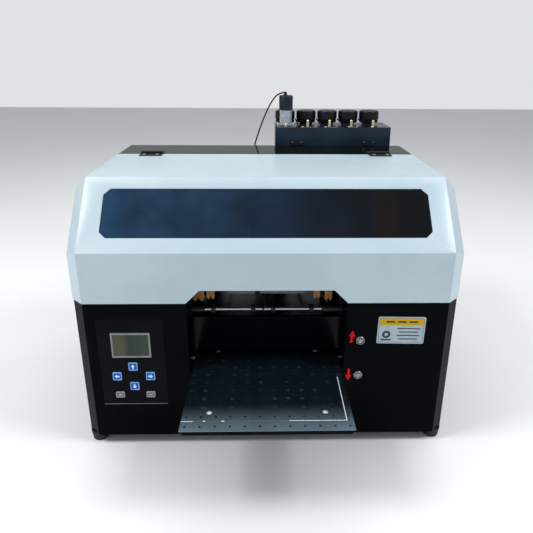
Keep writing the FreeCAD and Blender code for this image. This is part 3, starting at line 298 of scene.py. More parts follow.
# two tones; size of the blotches, size and depth of the grain in mm; roughness from and to; other sockets
specular = "Specular IOR Level"
surfaceLook = {
    # sheet steel in gloss powder coat: faint orange peel a few mm across, deep reflections
    "powderCoatBlack": ("#030508", "#060a0e", 90, 1.6, 0.02, 0.14, 0.22, {specular: 0.025}),
    # stove enamel of the roof panel: flatter and glossier, a near mirror
    "stoveEnamelBlack": ("#050507", "#0b0a0a", 140, 3.0, 0.008, 0.1, 0.16, {specular: 0.12}),
    # pale blue-grey enamel of the hood: satin, with a very soft mottle
    "satinEnamelPaleBlue": ("#b6cbd5", "#bfd2db", 160, 1.2, 0.018, 0.26, 0.36,
                            {"Coat Weight": 0.25, "Coat Roughness": 0.2}),
    # cast acrylic sheet: flat, dark and wet-looking
    "castAcrylicBlack": ("#030508", "#05090d", 60, 5.0, 0.01, 0.1, 0.18, {specular: 0.1}),
    # lacquered folded sheet: a dark blue that shows in the light
    "inkBoxLacquer": ("#11222f", "#183042", 70, 2.0, 0.015, 0.16, 0.26, {specular: 0.3}),
    # moulded ABS with a spark-eroded texture of a third of a millimetre, drawn coarser so that it shows
    "mouldedAbsBlack": ("#0d0f12", "#15181c", 40, 0.7, 0.04, 0.38, 0.5, {}),
    # the same plastic from a smoother mould: a dull shine
    "mouldedAbsPanel": ("#07090c", "#0b0e12", 50, 0.8, 0.03, 0.24, 0.34, {specular: 0.05}),
    # ABS in metallic paint: grey with a soft glitter; also used for painted highlights on lit edges
    "silverPaintedAbs": ("#6c7578", "#889093", 20, 0.4, 0.02, 0.26, 0.36, {"Metallic": 0.5}),
    # through-dyed polycarbonate: a strong blue, smooth
    "polycarbonateBlue": ("#0050c6", "#0060d8", 12, 0.5, 0.01, 0.3, 0.4, {specular: 0.15}),
    # thin polycarbonate lit from its edge: a pale blue rim
    "polycarbonatePaleBlue": ("#5aa6ee", "#9ccdf6", 10, 0.5, 0.01, 0.25, 0.35, {}),
    # screen-printed white: matt and slightly uneven
    "printedWhite": ("#f3f6f8", "#e6ebef", 8, 0.3, 0.01, 0.35, 0.5, {}),
    # light grey moulded ABS: even, half matt
    "mouldedAbsGrey": ("#8e989e", "#a0a9ae", 14, 0.4, 0.02, 0.35, 0.45, {}),
    # grey moulded ABS with a darker print: a smoky face
    "printedAbsGrey": ("#5c6466", "#747c7c", 6, 0.4, 0.02, 0.35, 0.45, {}),
    # nitrile rubber: dull, with a dusty tone
    "nitrileRubber": ("#0c0d0e", "#17191b", 12, 0.6, 0.05, 0.6, 0.8, {}),
    # neoprene of a toothed belt: matt black
    "neopreneBelt": ("#0a0a0b", "#121314", 10, 0.5, 0.05, 0.55, 0.7, {}),
    # ground and polished shafting: bright, with lines along its length
    "groundBearingSteel": ("#c8ccd0", "#d6d9dc", 25, 0.25, 0.01, 0.12, 0.22, {"Metallic": 1.0}),
    # turned stainless steel: grey and glossy
    "turnedStainless": ("#6f7376", "#a4a8aa", 3, 0.2, 0.015, 0.16, 0.28, {"Metallic": 1.0}),
    # bright zinc on screws: pale, a little milky
    "zincPlatedSteel": ("#c9cccd", "#e4e6e6", 5, 0.3, 0.02, 0.25, 0.4, {"Metallic": 0.55}),
    # yellow passivated zinc: a brownish gold
    "yellowPassivatedZinc": ("#8c5c30", "#c08c54", 9, 0.5, 0.02, 0.35, 0.5, {"Metallic": 0.5}),
    # galvanised sheet: a violet grey, cloudy
    "galvanisedSheet": ("#686676", "#807e8c", 30, 0.6, 0.02, 0.4, 0.5, {"Metallic": 0.3}),
    # turned brass: pale yellow, shiny
    "turnedBrass": ("#c2b892", "#e2dab8", 6, 0.2, 0.015, 0.2, 0.34, {"Metallic": 1.0}),
    # nickel on steel, satin: a cool light grey
    "satinNickelSteel": ("#b3bfc4", "#ccd6da", 10, 0.3, 0.02, 0.28, 0.4, {"Metallic": 0.6}),
    # black oxide: an oily black
    "blackOxideSteel": ("#0c0d0f", "#16181b", 10, 0.5, 0.02, 0.34, 0.48, {specular: 0.3}),
    # paint on a motor can: blue-black, half gloss
    "motorCanPaint": ("#0f1a22", "#1a2935", 16, 0.8, 0.03, 0.28, 0.4, {specular: 0.35}),
    # milled aluminium: grey, with the cutter's lines
    "milledAluminium": ("#8e9396", "#a3a8aa", 30, 0.35, 0.02, 0.28, 0.4, {"Metallic": 1.0}),
    # turned aluminium: lighter and smoother
    "turnedAluminium": ("#b5b9bb", "#cbced0", 8, 0.2, 0.015, 0.22, 0.34, {"Metallic": 1.0}),
    # painted sheet steel inside the housing: satin black
    "satinBlackSteel": ("#0b0c0e", "#131518", 60, 1.2, 0.03, 0.36, 0.48, {specular: 0.4}),
    # blow-moulded polyethylene: waxy and dark
    "blowMouldedPolyethylene": ("#141619", "#1d2024", 30, 1.5, 0.05, 0.35, 0.5, {}),
    # moulded polypropylene of the caps: a soft shine on the ribs
    "polypropyleneBlack": ("#0b1014", "#151c22", 15, 0.6, 0.03, 0.26, 0.38, {specular: 0.26}),
    # PVC sheath: soft and matt
    "pvcSheathBlack": ("#050607", "#0b0c0d", 8, 0.4, 0.02, 0.4, 0.55, {specular: 0.15}),
    # heat-shrink sleeve: a dull brick red
    "heatShrinkRed": ("#a8422c", "#c0563a", 4, 0.3, 0.02, 0.35, 0.5, {}),
    # vinyl stickers and the print on them: flat colours with a slight shine
    "vinylStickerWhite": ("#9fb2be", "#aebfca", 25, 0.6, 0.01, 0.3, 0.42, {}),
    "vinylStickerYellow": ("#c89c00", "#d4a800", 20, 0.6, 0.01, 0.35, 0.45, {specular: 0.15}),
    "vinylStickerRed": ("#e00006", "#ee0008", 8, 0.5, 0.01, 0.4, 0.55, {specular: 0.12}),
    "vinylPrintGrey": ("#14181c", "#20262b", 8, 0.5, 0.005, 0.4, 0.5, {}),
    # solder mask on the circuit boards: green, glossy
    "solderMaskGreen": ("#0d4a26", "#146034", 3, 0.8, 0.03, 0.25, 0.4, {}),
    # anodised tray under the platen: near black, dull
    "anodisedAluminiumTray": ("#06080a", "#0c0f12", 40, 0.8, 0.02, 0.32, 0.42, {specular: 0.03}),
    # painted studio floor: white and matt
    "studioFloor": ("#f4f5f6", "#f7f8f9", 800, 40, 0.01, 0.6, 0.7, {}),
}
stretchLook = {"groundBearingSteel": (0.2, 1, 1), "milledAluminium": (1, 0.1, 1)}
for name, look in surfaceLook.items():
    finish(name, look, stretchLook.get(name, (1, 1, 1)))


def shadeAcross(tree, place, node, stops):
    # tones from the left side of a CAD node to its right side
    low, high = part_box(node)
    parts = addNode(tree, "SeparateXYZ", {}, {"Vector": place})
    share = addNode(tree, "MapRange", {"From Min": low[0], "From Max": high[0]},
                    {"Value": parts.outputs["X"]})
    ramp = addNode(tree, "ValToRGB", {}, {"Fac": share})
    for i, (position, text) in enumerate(stops):
        stop = ramp.color_ramp.elements[i] if i < 2 else ramp.color_ramp.elements.new(position)
        stop.position = position
        stop.color = colour(text)
    return ramp


displayLook = {"stops": ((0.3, "#454d2e"), (0.46, "#16281f"), (0.95, "#2c4030")), "cells": 6.0}


def displayGlass():
    # liquid-crystal cell behind polished glass: olive to the left, bluer green to the right
    tree, place = newMaterial("liquidCrystalCell")
    ramp = shadeAcross(tree, place, "display_bezel", displayLook["stops"])
    cells = addNode(tree, "TexNoise", {"Scale": 1000 / displayLook["cells"], "Detail": 2.0},
                    {"Vector": place})
    shade = addNode(tree, "Mix", {"data_type": "RGBA", "blend_type": "MULTIPLY", 0: 0.18},
                    {6: ramp, 7: cells.outputs["Color"]})
    shader = addNode(tree, "BsdfPrincipled", {"Roughness": 0.25, specular: 0.3, "Coat Weight": 0.15,
                                              "Coat Roughness": 0.04}, {"Base Color": shade})
    addNode(tree, "OutputMaterial", {}, {"Surface": shader})


# tones of the window from left to right: the paler left side is a painted sheen
windowLook = {"stops": ((0.0, "#2a5478"), (0.4, "#1e3d5a"), (0.62, "#102234"), (0.8, "#07121d"),
                        (0.83, "#1e1518"), (0.88, "#1a1113"), (0.9, "#040a12"), (1.0, "#03070d")),
              "through": 0.5, "mottle": 70.0}


def smokedWindow():
    # cast acrylic, smoked dark blue, with a painted sheen that makes it paler to the left and darker to the
    # right, and a thin brownish band near the right; it lets a little light through
    look = windowLook
    tree, place = newMaterial("smokedAcrylic")
    ramp = shadeAcross(tree, place, "hood_window", look["stops"])
    mottle = addNode(tree, "TexNoise", {"Scale": 1000 / look["mottle"], "Detail": 5.0}, {"Vector": place})
    depth = addNode(tree, "MapRange", {"From Min": 0.3, "From Max": 0.7, "To Min": 0.55, "To Max": 1.25},
                    {"Value": mottle})
    shade = addNode(tree, "Mix", {"data_type": "RGBA", "blend_type": "MULTIPLY", 0: 1.0}, {6: ramp, 7: depth})
    rough = addNode(tree, "MapRange", {"To Min": 0.04, "To Max": 0.09}, {"Value": mottle})
    shader = addNode(tree, "BsdfPrincipled",
                     {"Transmission Weight": look["through"], "IOR": 1.49, specular: 0.05},
                     {"Base Color": shade, "Roughness": rough})
    addNode(tree, "OutputMaterial", {}, {"Surface": shader})


platenLook = {"lineWidth": 1.3, "edgeToSideLine": 11.0, "frontToLine": 25.0, "sideLineLength": 128.0,
              "brightLineLength": 98.0, "leftEnd": 20.0, "dashes": ((37.0, 4.0), (68.0, 5.0)),
              "metal": 0.75, "pitch": 25.0, "hole": 2.1, "rim": 2.8, "sheenFrontDepth": 75.0}


def platenAnodised():
    # black anodised aluminium: fine blasted grain, long fine scratches, a worn white datum mark; a paler
    # front strip that is a painted reflection, and painted shade in the holes and on the cut edges
    look = platenLook
    tree, place = newMaterial("anodisedAluminiumBlack")
    low, high = corners("platen")
    parts = addNode(tree, "SeparateXYZ", {}, {"Vector": place})
    wear = addNode(tree, "TexNoise", {"Scale": 1000 / 24.0, "Detail": 3.0}, {"Vector": place})
    faint = addNode(tree, "MapRange", {"From Min": 0.62, "From Max": 0.56, "To Min": 0.06, "To Max": 0.1},
                    {"Value": wear})
    # left, right, front and back of each stroke of the mark in mm, and the wear that thins it
    width = look["lineWidth"]
    sideX = high.x - look["edgeToSideLine"]
    lineY = low.y + look["frontToLine"]
    strokes = [(sideX - width, sideX, lineY, lineY + look["sideLineLength"], None),
               (sideX - look["brightLineLength"], sideX, lineY, lineY + width, None),
               (low.x, low.x + look["leftEnd"], lineY, lineY + width, None),
               (low.x, sideX, lineY, lineY + width, faint)]
    for start, long in look["dashes"]:
        strokes.append((low.x + start, low.x + start + long, lineY, lineY + 1.6 * width, None))
    mark = None
    for left, right, front, back, worn in strokes:
        inside = []
        for axis, start, end in (("X", left, right), ("Y", front, back)):
            inside.append(addNode(tree, "Math", {"operation": "COMPARE", 1: (start + end) / 2 * mm,
                                                 2: (end - start) / 2 * mm}, {0: parts.outputs[axis]}))
        stroke = addNode(tree, "Math", {"operation": "MULTIPLY"}, {0: inside[0], 1: inside[1]})
        if worn:
            stroke = addNode(tree, "Math", {"operation": "MULTIPLY"}, {0: stroke, 1: worn})
        if mark:
            stroke = addNode(tree, "Math", {"operation": "MAXIMUM"}, {0: mark, 1: stroke})
        mark = stroke
    chips = addNode(tree, "TexNoise", {"Scale": 1000 / 1.1, "Detail": 2.0}, {"Vector": place})
    kept = addNode(tree, "MapRange", {"From Min": 0.32, "From Max": 0.42}, {"Value": chips})
    mark = addNode(tree, "Math", {"operation": "MULTIPLY"}, {0: mark, 1: kept})
    # smeared tones, scratches nearly along X, and a paler strip along the front that is a painted reflection
    # of the hood
    grain = addNode(tree, "TexNoise", {"Scale": 1000 / 0.8, "Detail": 3.0}, {"Vector": place})
    smears = addNode(tree, "TexNoise", {"Scale": 1000 / 55.0, "Detail": 6.0, "Distortion": 0.6},
                     {"Vector": place})
    brushed = addNode(tree, "Mapping", {"Scale": (0.05, 1, 1), "Rotation": (0, 0, 0.14)}, {"Vector": place})
    scratches = addNode(tree, "TexNoise", {"Scale": 1000 / 1.6, "Detail": 2.0}, {"Vector": brushed})
    thin = addNode(tree, "MapRange", {"From Min": 0.68, "From Max": 0.74}, {"Value": scratches})
    tones = addNode(tree, "Mix", {"data_type": "RGBA", 6: colour("#17232c"), 7: colour("#24343f")},
                    {0: smears})
    # paler towards the front edge: a painted reflection
    forward = addNode(tree, "MapRange",
                      {"interpolation_type": "SMOOTHSTEP", "From Min": low.y * mm,
                       "From Max": (low.y + look["sheenFrontDepth"]) * mm, "To Min": 1.0, "To Max": 0.0},
                      {"Value": parts.outputs["Y"]})
    # the countersunk rims of the hole grid, rubbed bright here and there; the holes themselves painted near
    # black as painted shade
    pitch = look["pitch"] * mm
    squares = []
    for i, axis in enumerate("XY"):
        shift = 100 * pitch - (low[i] + high[i]) / 2 * mm
        moved = addNode(tree, "Math", {"operation": "ADD", 1: shift}, {0: parts.outputs[axis]})
        cell = addNode(tree, "Math", {"operation": "FLOORED_MODULO", 1: pitch}, {0: moved})
        fromHole = addNode(tree, "Math", {"operation": "SUBTRACT", 1: pitch / 2}, {0: cell})
        squares.append(addNode(tree, "Math", {"operation": "POWER", 1: 2.0}, {0: fromHole}))
    total = addNode(tree, "Math", {"operation": "ADD"}, {0: squares[0], 1: squares[1]})
    distance = addNode(tree, "Math", {"operation": "SQRT"}, {0: total})
    rubbed = addNode(tree, "TexNoise", {"Scale": 1000 / 31.0, "Detail": 1.0}, {"Vector": place})
    rimShare = addNode(tree, "MapRange", {"From Min": 0.45, "From Max": 0.62, "To Min": 0.12, "To Max": 0.7},
                       {"Value": rubbed})
    inRim = addNode(tree, "Math", {"operation": "LESS_THAN", 1: look["rim"] * mm}, {0: distance})
    rim = addNode(tree, "Math", {"operation": "MULTIPLY"}, {0: inRim, 1: rimShare})
    # near black inside each hole: painted shade
    holeShade = addNode(tree, "Math", {"operation": "LESS_THAN", 1: look["hole"] * mm}, {0: distance})
    for text, share in (("#8ea3b0", forward), ("#5d707c", thin), ("#d6e6ee", mark), ("#9fb4c0", rim),
                        ("#020304", holeShade)):
        tones = addNode(tree, "Mix", {"data_type": "RGBA", 7: colour(text)}, {0: share, 6: tones})
    # all of that is on the top face only; the cut edges get a near black, darker copy of the plate as painted
    # shade, and no metal sheen
    onTop = addNode(tree, "Math", {"operation": "GREATER_THAN", 1: (high.z - 0.4) * mm},
                    {0: parts.outputs["Z"]})
    shadedSidesColour = addNode(tree, "Mix", {"data_type": "RGBA", 6: colour("#04070a")}, {0: onTop, 7: tones})
    bare = addNode(tree, "Math", {"operation": "SUBTRACT", 0: look["metal"]}, {1: mark})
    sheen = addNode(tree, "Math", {"operation": "MULTIPLY", "use_clamp": True}, {0: onTop, 1: bare})
    rough = addNode(tree, "MapRange", {"From Min": 0.35, "From Max": 0.65, "To Min": 0.16, "To Max": 0.24},
                    {"Value": smears})
    height = addNode(tree, "Math", {"operation": "ADD"}, {0: grain, 1: mark})
    bump = addNode(tree, "Bump", {"Strength": 0.25, "Distance": 0.03 * mm}, {"Height": height})
    shader = addNode(tree, "BsdfPrincipled", {specular: 0.05},
                     {"Base Color": shadedSidesColour, "Roughness": rough, "Metallic": sheen, "Normal": bump})
    addNode(tree, "OutputMaterial", {}, {"Surface": shader})


displayGlass()
smokedWindow()
platenAnodised()
print("materials made")

nodeLook = {
    "powderCoatBlack": "left_tower_cover right_tower_cover left_side_panel right_side_panel rear_panel",
    "stoveEnamelBlack": "top_panel",
    "satinBlackSteel": "base_pan gantry",
    "castAcrylicBlack": "inner_shield",
    "inkBoxLacquer": "ink_box",
    "satinEnamelPaleBlue": "hood_shell",
    "smokedAcrylic": "hood_window",
    "mouldedAbsPanel": "control_panel",
    "anodisedAluminiumBlack": "platen",
    "anodisedAluminiumTray": "platen_tray",
    "groundBearingSteel": "hinge_pins",
    "blackOxideSteel": "lift_guide_rods lift_screw platen_drive_screw hinge_leaves_fixed hinge_leaves_hood",
    "motorCanPaint": "carriage_motor platen_motor lift_motor",
    "milledAluminium": "lift_frame uv_lamp",
    "turnedAluminium": "carriage_drive_pulley carriage_idler_pulley",
    "mouldedAbsBlack": "carriage capping_station power_inlet power_switch wire_gland",
    "satinNickelSteel": "print_head",
    "neopreneBelt": "carriage_belt",
    "blowMouldedPolyethylene": "ink_bottles",
    "turnedStainless": "stirrer_paddle",
    "solderMaskGreen": "electronics",
}
for name, nodes in nodeLook.items():
    for node in nodes.split():
        nodeMaterial(bpy.data.materials[name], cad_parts[node])
edgeLook = {"left_tower_cover": 0.7, "right_tower_cover": 0.7, "left_side_panel": 0.6,
            "right_side_panel": 0.6, "top_panel": 0.7, "hood_shell": 0.7, "inner_shield": 0.5,
            "base_pan": 0.5, "ink_box": 1.2, "control_panel": 0.4, "platen_tray": 0.5}
for node, width in edgeLook.items():
    softEdges(node, width)
print("CAD nodes finished")

keyLook = {"height": 2.2, "corner": 2.0, "edge": 0.35, "rim": 0.8, "crown": 0.45, "arrow": 9.4,
           "bar": (7.2, 1.0)}


def keyMiddle(node):
    # middle of a CAD key, at the back of its cap
    low, high = corners(node)
    return Vector(((low.x + high.x) / 2, low.y + keyLook["height"], (low.z + high.z) / 2))


def keyBlock(node, faceMaterial, rimMaterial):
    # keycap with a rounded outline, a pale rim and a sunk face, on a stem and a skirt, at the origin
    look = keyLook
    low, high = (corner - keyMiddle(node) for corner in corners(node))
    outline = roundedOutline(high.x - low.x - 2, high.z - low.z - 2, look["corner"])
    cap = flatShape("keyCap", outline, look["height"], (0, 0, 0), rimMaterial)
    cap.data.materials.append(bpy.data.materials[faceMaterial])
    startEdit(cap)
    selectWhere(cap, "faces", lambda place, normal: normal.y < -0.9)
    bpy.ops.mesh.inset(thickness=look["edge"] * mm, depth=0.3 * mm)
    bpy.ops.mesh.inset(thickness=look["rim"] * mm, depth=0)
    bpy.ops.mesh.inset(thickness=0.3 * mm, depth=-look["crown"] * mm)
    cap.active_material_index = 1
    bpy.ops.object.material_slot_assign()
    endEdit()
    stem = turned("keyStem", [(0, 0), (3, 0), (3, 5), (0, 5)], rimMaterial, (0, 0.5, 0), "Y", 20)
    skirt = boxPiece("keySkirt", (low.x, low.y + 4.4, low.z), (high.x, low.y + 5.6, high.z),
                     rimMaterial, 0.2, 1)
    return joined("keyMaster", [cap, stem, skirt])


def arrowOutline(size, turn):
    shape = [(-0.16, -0.5), (0.16, -0.5), (0.16, 0.02), (0.46, 0.02), (0, 0.5), (-0.46, 0.02), (-0.16, 0.02)]
    c = math.cos(math.radians(turn))
    s = math.sin(math.radians(turn))
    return [((x * c - y * s) * size, (x * s + y * c) * size) for x, y in shape]


master = keyBlock("key_up", "polycarbonateBlue", "polycarbonatePaleBlue")
for direction, turn in {"up": 0, "left": 90, "down": 180, "right": 270}.items():
    node = "key_" + direction
    name = "arrowKey_" + direction
    arrow = flatShape("keyArrow", arrowOutline(keyLook["arrow"], turn), 0.35,
                      keyMiddle(node) + Vector((0, -1.95, 0)), "printedWhite")
    settle(joined(name, [copied(master, name, keyMiddle(node)), arrow]), node, "key_blue", node)
bpy.data.objects.remove(master)

wide, tall = keyLook["bar"]
bar = boxPiece("keyBar", (-wide / 2, -2.15, -tall / 2), (wide / 2, -1.8, tall / 2), "printedWhite", 0.15, 1)
master = joined("keyMaster", [keyBlock("key_cancel", "printedAbsGrey", "mouldedAbsGrey"), bar])
for job in ("cancel", "confirm"):
    node = "key_" + job
    settle(copied(master, "panelKey_" + job, keyMiddle(node)), node, "key_grey", node)
bpy.data.objects.remove(master)

bezelLook = {"thickness": 2.0, "steps": ((0.6, 0.5), (2.9, 0), (0.5, -1.5)), "glassMargin": 8.2}


def displayPieces():
    look = bezelLook
    low, high = corners("display_bezel")
    middle = Vector(((low.x + high.x) / 2, high.y, (low.z + high.z) / 2))
    wide = high.x - low.x
    tall = high.z - low.z
    outline = [(sx * wide / 2, sy * tall / 2) for sx, sy in ((1, 1), (-1, 1), (-1, -1), (1, -1))]
    rim = flatShape("displayBezel", outline, look["thickness"], middle, "silverPaintedAbs")
    startEdit(rim)
    selectWhere(rim, "faces", lambda place, normal: normal.y < -0.9)
    for thickness, depth in look["steps"]:
        bpy.ops.mesh.inset(thickness=thickness * mm, depth=depth * mm)
    endEdit()
    settle(rim, "chassis", "bezel_silver", "display_bezel")
    outline = roundedOutline(wide - look["glassMargin"], tall - look["glassMargin"], 0.6)
    glass = flatShape("displayGlass", outline, 0.5, middle + Vector((0, -0.9, 0)), "liquidCrystalCell")
    settle(glass, "chassis", "bezel_silver")


displayPieces()

# cut edge of the sheet under the panel, made silver as a painted highlight where it catches the light
ledgeLook = {"up": 6.0, "in": 6.5, "out": 1.4, "thickness": 0.9}
low, high = corners("control_panel")
ledgeHighlightStrip = boxPiece("panelLedge", (low.x + ledgeLook["in"], low.y - ledgeLook["out"], low.z + ledgeLook["up"]),
                 (high.x - ledgeLook["in"], low.y, low.z + ledgeLook["up"] + ledgeLook["thickness"]),
                 "silverPaintedAbs", 0.3)
settle(ledgeHighlightStrip, "chassis", "bezel_silver")
print("control panel done")

buttonLook = {"bezel": 8.8, "opening": 6.1, "cap": 6.0, "length": 20.0}
r = buttonLook["bezel"]
w = buttonLook["opening"]
c = buttonLook["cap"]
body = turned("buttonBody",
              [(0, 0), (8, 0), (8, 15), (11, 15), (11, 18), (r, 18), (r, 18.9), (r - 0.8, 19.8),
               (w + 1.1, 20), (w + 0.4, 19.6), (w, 18.6), (w, 4), (0, 4)],
              "turnedStainless", axis="-Y", sides=48)
cap = turned("liftButton",
             [(0, 0), (c, 0), (c, 11.6), (c - 0.7, 12.2), (4.6, 12.4), (4.2, 11.8), (3.4, 11.8),
              (3.0, 12.6), (1.6, 13), (0, 13)], "turnedStainless", axis="-Y", sides=48)
back = corners("lift_button_bodies")[0].y + buttonLook["length"]
buttons = {}
for name in ("up", "down"):
    low, high = corners("lift_button_" + name)
    buttons[name] = ((low.x + high.x) / 2, high.y, (low.z + high.z) / 2)
bodies = repeated(body, [(x, back, z) for x, y, z in buttons.values()])
settle(joined("liftButtonBodies", bodies), "chassis", "button_steel", "lift_button_bodies")
for name, place in buttons.items():
    node = "lift_button_" + name
    settle(copied(cap, "liftButton_" + name, place), node, "button_steel", node)
bpy.data.objects.remove(cap)

# stuck-on arrows beside the buttons: turn, distance to the left, shift upwards and lean of each
stickerLook = {"size": 26.0, "slim": 0.52, "thickness": 0.25,
               "places": {"up": (0, 16.3, 8.7, -5), "down": (180, 19.0, 1.1, -3)}}
frontY = corners("right_tower_cover")[0].y
for name, (turn, left, shift, lean) in stickerLook["places"].items():
    low, high = corners("lift_button_" + name)
    c = math.cos(math.radians(lean))
    s = math.sin(math.radians(lean))
    slim = [(x * stickerLook["slim"], y) for x, y in arrowOutline(stickerLook["size"], turn)]
    arrow = flatShape("arrowSticker_" + name, [(x * c - y * s, x * s + y * c) for x, y in slim],
                      stickerLook["thickness"],
                      ((low.x + high.x) / 2 - left, frontY, (low.z + high.z) / 2 + shift), "vinylStickerRed")
    settle(arrow, "chassis", "key_blue")

labelLook = {"size": (91.0, 57.5), "middle": (256.2, 257.7), "lean": -0.02, "header": 14.5,
             "symbol": (-28, -9), "rules": 4, "rulePitch": 7.5}


def infoLabel():
    # generic notice: header band, a plain blank symbol and ruled lines, no lettering
    look = labelLook
    wide, tall = look["size"]
    middle = Vector((look["middle"][0], frontY, look["middle"][1]))
    c = math.cos(look["lean"])
    s = math.sin(look["lean"])
    right = Vector((c, 0, s))
    up = Vector((-s, 0, c))
    parts = []

    def patch(name, outline, lift, material, dx=0.0, dz=0.0):
        place = middle + right * dx + up * dz - Vector((0, lift, 0))
        parts.append(flatShape(name, outline, 0.12, place, "vinyl" + material, right, up))

    header = look["header"]
    band = tall / 2 - header / 2 - 3.5
    sx, sz = look["symbol"]
    patch("labelBase", roundedOutline(wide, tall, 4), 0.0, "StickerWhite")
    patch("labelHeader", roundedOutline(wide - 7, header, 1.5), 0.08, "StickerYellow", 0, band)
    patch("labelBorder", roundedOutline(wide - 5, tall - 5, 3), 0.04, "PrintGrey")
    patch("labelField", roundedOutline(wide - 6.4, tall - 6.4, 2.4), 0.06, "StickerWhite")
    patch("labelDisc", circleOutline(8, 24), 0.1, "PrintGrey", sx, sz)
    patch("labelDiscCore", circleOutline(3.4, 24), 0.16, "StickerWhite", sx, sz)
    patch("labelPlinth", roundedOutline(20, 3.4, 0.8), 0.1, "PrintGrey", sx, sz - 11.5)
    for row in range(look["rules"]):
        patch("labelRule", roundedOutline(44 - 7 * (row % 2), 2.2, 0.5), 0.1, "PrintGrey",
              14, 4 - look["rulePitch"] * row)
    for dx in (-22, 0, 22):
        patch("headerRule", roundedOutline(16, 3.6, 0.6), 0.16, "PrintGrey", dx, band)
    settle(joined("infoLabel", parts), "chassis", "key_grey")


infoLabel()
print("buttons and stickers done")

# screws: head radius, head height and length of the shank
screwLook = {"platen": (5, 1.2, 8), "hinge": (3.7, 2.1, 1.5), "side": (3.5, 1.9, 1.5),
             "rear": (3.5, 2.0, 1.5), "plate": (3.2, 4.2, 1.5), "lid": (2.4, 1.5, 1.0),
             "tab": (2.0, 1.2, 1.0)}
places = fourCorners("platen_screws", 5, corners("platen_screws")[1].z - screwLook["platen"][1])
screws = repeated(panScrew("platenScrew", *screwLook["platen"], "zincPlatedSteel"), places)
settle(joined("platenScrews", screws), "platen", "fastener_steel", "platen_screws")

hingeLook = {"toScrews": 16.2, "apart": 15.0, "leafMiddle": 25.0, "leaf": 2.0}
low, high = corners("hinge_leaves_fixed")
pinLow, pinHigh = corners("hinge_pins")
for name, body, side in (("roof", "chassis", 1), ("hood", "hood", -1)):
    y = (pinLow.y + pinHigh.y) / 2 + side * hingeLook["toScrews"]
    places = [(middle + dx, y, low.z + hingeLook["leaf"])
              for middle in (low.x + hingeLook["leafMiddle"], high.x - hingeLook["leafMiddle"])
              for dx in (-hingeLook["apart"], hingeLook["apart"])]
    heads = repeated(panScrew("hingeScrew", *screwLook["hinge"], "zincPlatedSteel"), places)
    settle(joined("hingeScrews_" + name, heads), body, "fastener_steel")

# cover screws: along both sides, measured from the front, and in two rows on the rear
coverLook = {"fromFront": 120.0, "fromRear": 60.0, "up": 9.0, "down": 7.5,
             "lowRow": (-300, -100, 100, 300), "highRow": (-280, -120)}
rearHigh = corners("rear_panel")[1]
rearY = rearHigh.y
sideX = corners("right_side_panel")[1].x
coverFront = corners("left_tower_cover")[0].y
lowZ = corners("base_pan")[0].z + coverLook["up"]
rows = (coverFront + coverLook["fromFront"], (coverFront + rearY) / 2, rearY - coverLook["fromRear"])
screws = []
for side, axis in ((1, "X"), (-1, "-X")):
    master = panScrew("coverScrew", *screwLook["side"], "zincPlatedSteel", axis=axis)
    screws += repeated(master, [(side * sideX, y, lowZ) for y in rows])
places = [(x, rearY, lowZ) for x in coverLook["lowRow"]]
places += [(x, rearY, rearHigh.z - coverLook["down"]) for x in coverLook["highRow"]]
screws += repeated(panScrew("coverScrew", *screwLook["rear"], "zincPlatedSteel", axis="Y"), places)
settle(joined("coverScrews", screws), "chassis", "fastener_steel", "housing_screws")

footLook = {"profile": [(0, 1.5), (9, 1.5), (10, 0), (14.5, 0), (15.6, 0.8), (17.6, 16), (17.9, 19),
                        (17.4, 20), (0, 20)], "reach": 18.0}
feet = repeated(turned("foot", footLook["profile"], "nitrileRubber"),
                fourCorners("rubber_feet", footLook["reach"], 0))
settle(joined("rubberFeet", feet), "chassis", "feet_rubber", "rubber_feet")
print("fasteners and feet done")

capLook = {"radius": 25.5, "height": 22.0, "ribs": 60, "ribDepth": 0.7, "bore": 17.3, "roof": 4.0}


def ribbedCap():
    # one ribbed screw cap, standing on the origin: every second line of the barrel is pushed in
    look = capLook
    r = look["radius"]
    h = look["height"]
    b = look["bore"]
    cap = turned("capMaster", [(0, h - look["roof"]), (b, h - look["roof"]), (b, 0), (r - 1.0, 0),
                               (r - 0.6, 0.4), (r - 0.6, 1.4), (r - 1.0, 1.8), (r, 2.4), (r, 3.2),
                               (r, h - 4.2), (r - 0.3, h - 2.6), (r - 1.6, h - 0.8), (r - 3.4, h),
                               (r - 4.6, h - 0.6), (r - 6, h - 0.9), (0, h - 0.9)],
                 "polypropyleneBlack", sides=look["ribs"] * 2)

    def inGroove(place, normal):
        onBarrel = abs(math.hypot(place.x, place.y) / mm - r) < 0.35 and 2.1 < place.z / mm < h - 2
        return onBarrel and round(math.atan2(place.y, place.x) / (math.pi / look["ribs"])) % 2 == 1

    startEdit(cap, "VERT")
    selectWhere(cap, "verts", inGroove)
    share = (r - look["ribDepth"]) / r
    bpy.ops.transform.resize(value=(share, share, 1), center_override=(0, 0, 0))
    endEdit()
    return cap


# a black ring on each neck just under its cap, where the cap's shadow falls: painted shade
capShadowRingLook = {"inner": 17.8, "outer": 24.8, "height": 7.0, "gap": 0.6}
a = capShadowRingLook["inner"]
b = capShadowRingLook["outer"]
h = capShadowRingLook["height"]
capMaster = ribbedCap()
places = []
for number in range(1, 6):
    node = "ink_cap_%d" % number
    low, high = corners(node)
    place = Vector(((low.x + high.x) / 2, (low.y + high.y) / 2, low.z))
    settle(copied(capMaster, "inkCap_%d" % number, place), node, "cap_plastic", node)
    places.append(place - Vector((0, 0, h + capShadowRingLook["gap"])))
bpy.data.objects.remove(capMaster)
shadowRing = turned("inkCollar", [(a, 0), (b - 1.2, 0), (b, 1.0), (b, h - 1.4), (b - 0.7, h - 0.6), (b - 1.4, h),
                            (a, h), (a, 0)], "pvcSheathBlack", sides=64)
settle(joined("inkCollars", repeated(shadowRing, places)), "chassis", "cap_plastic")

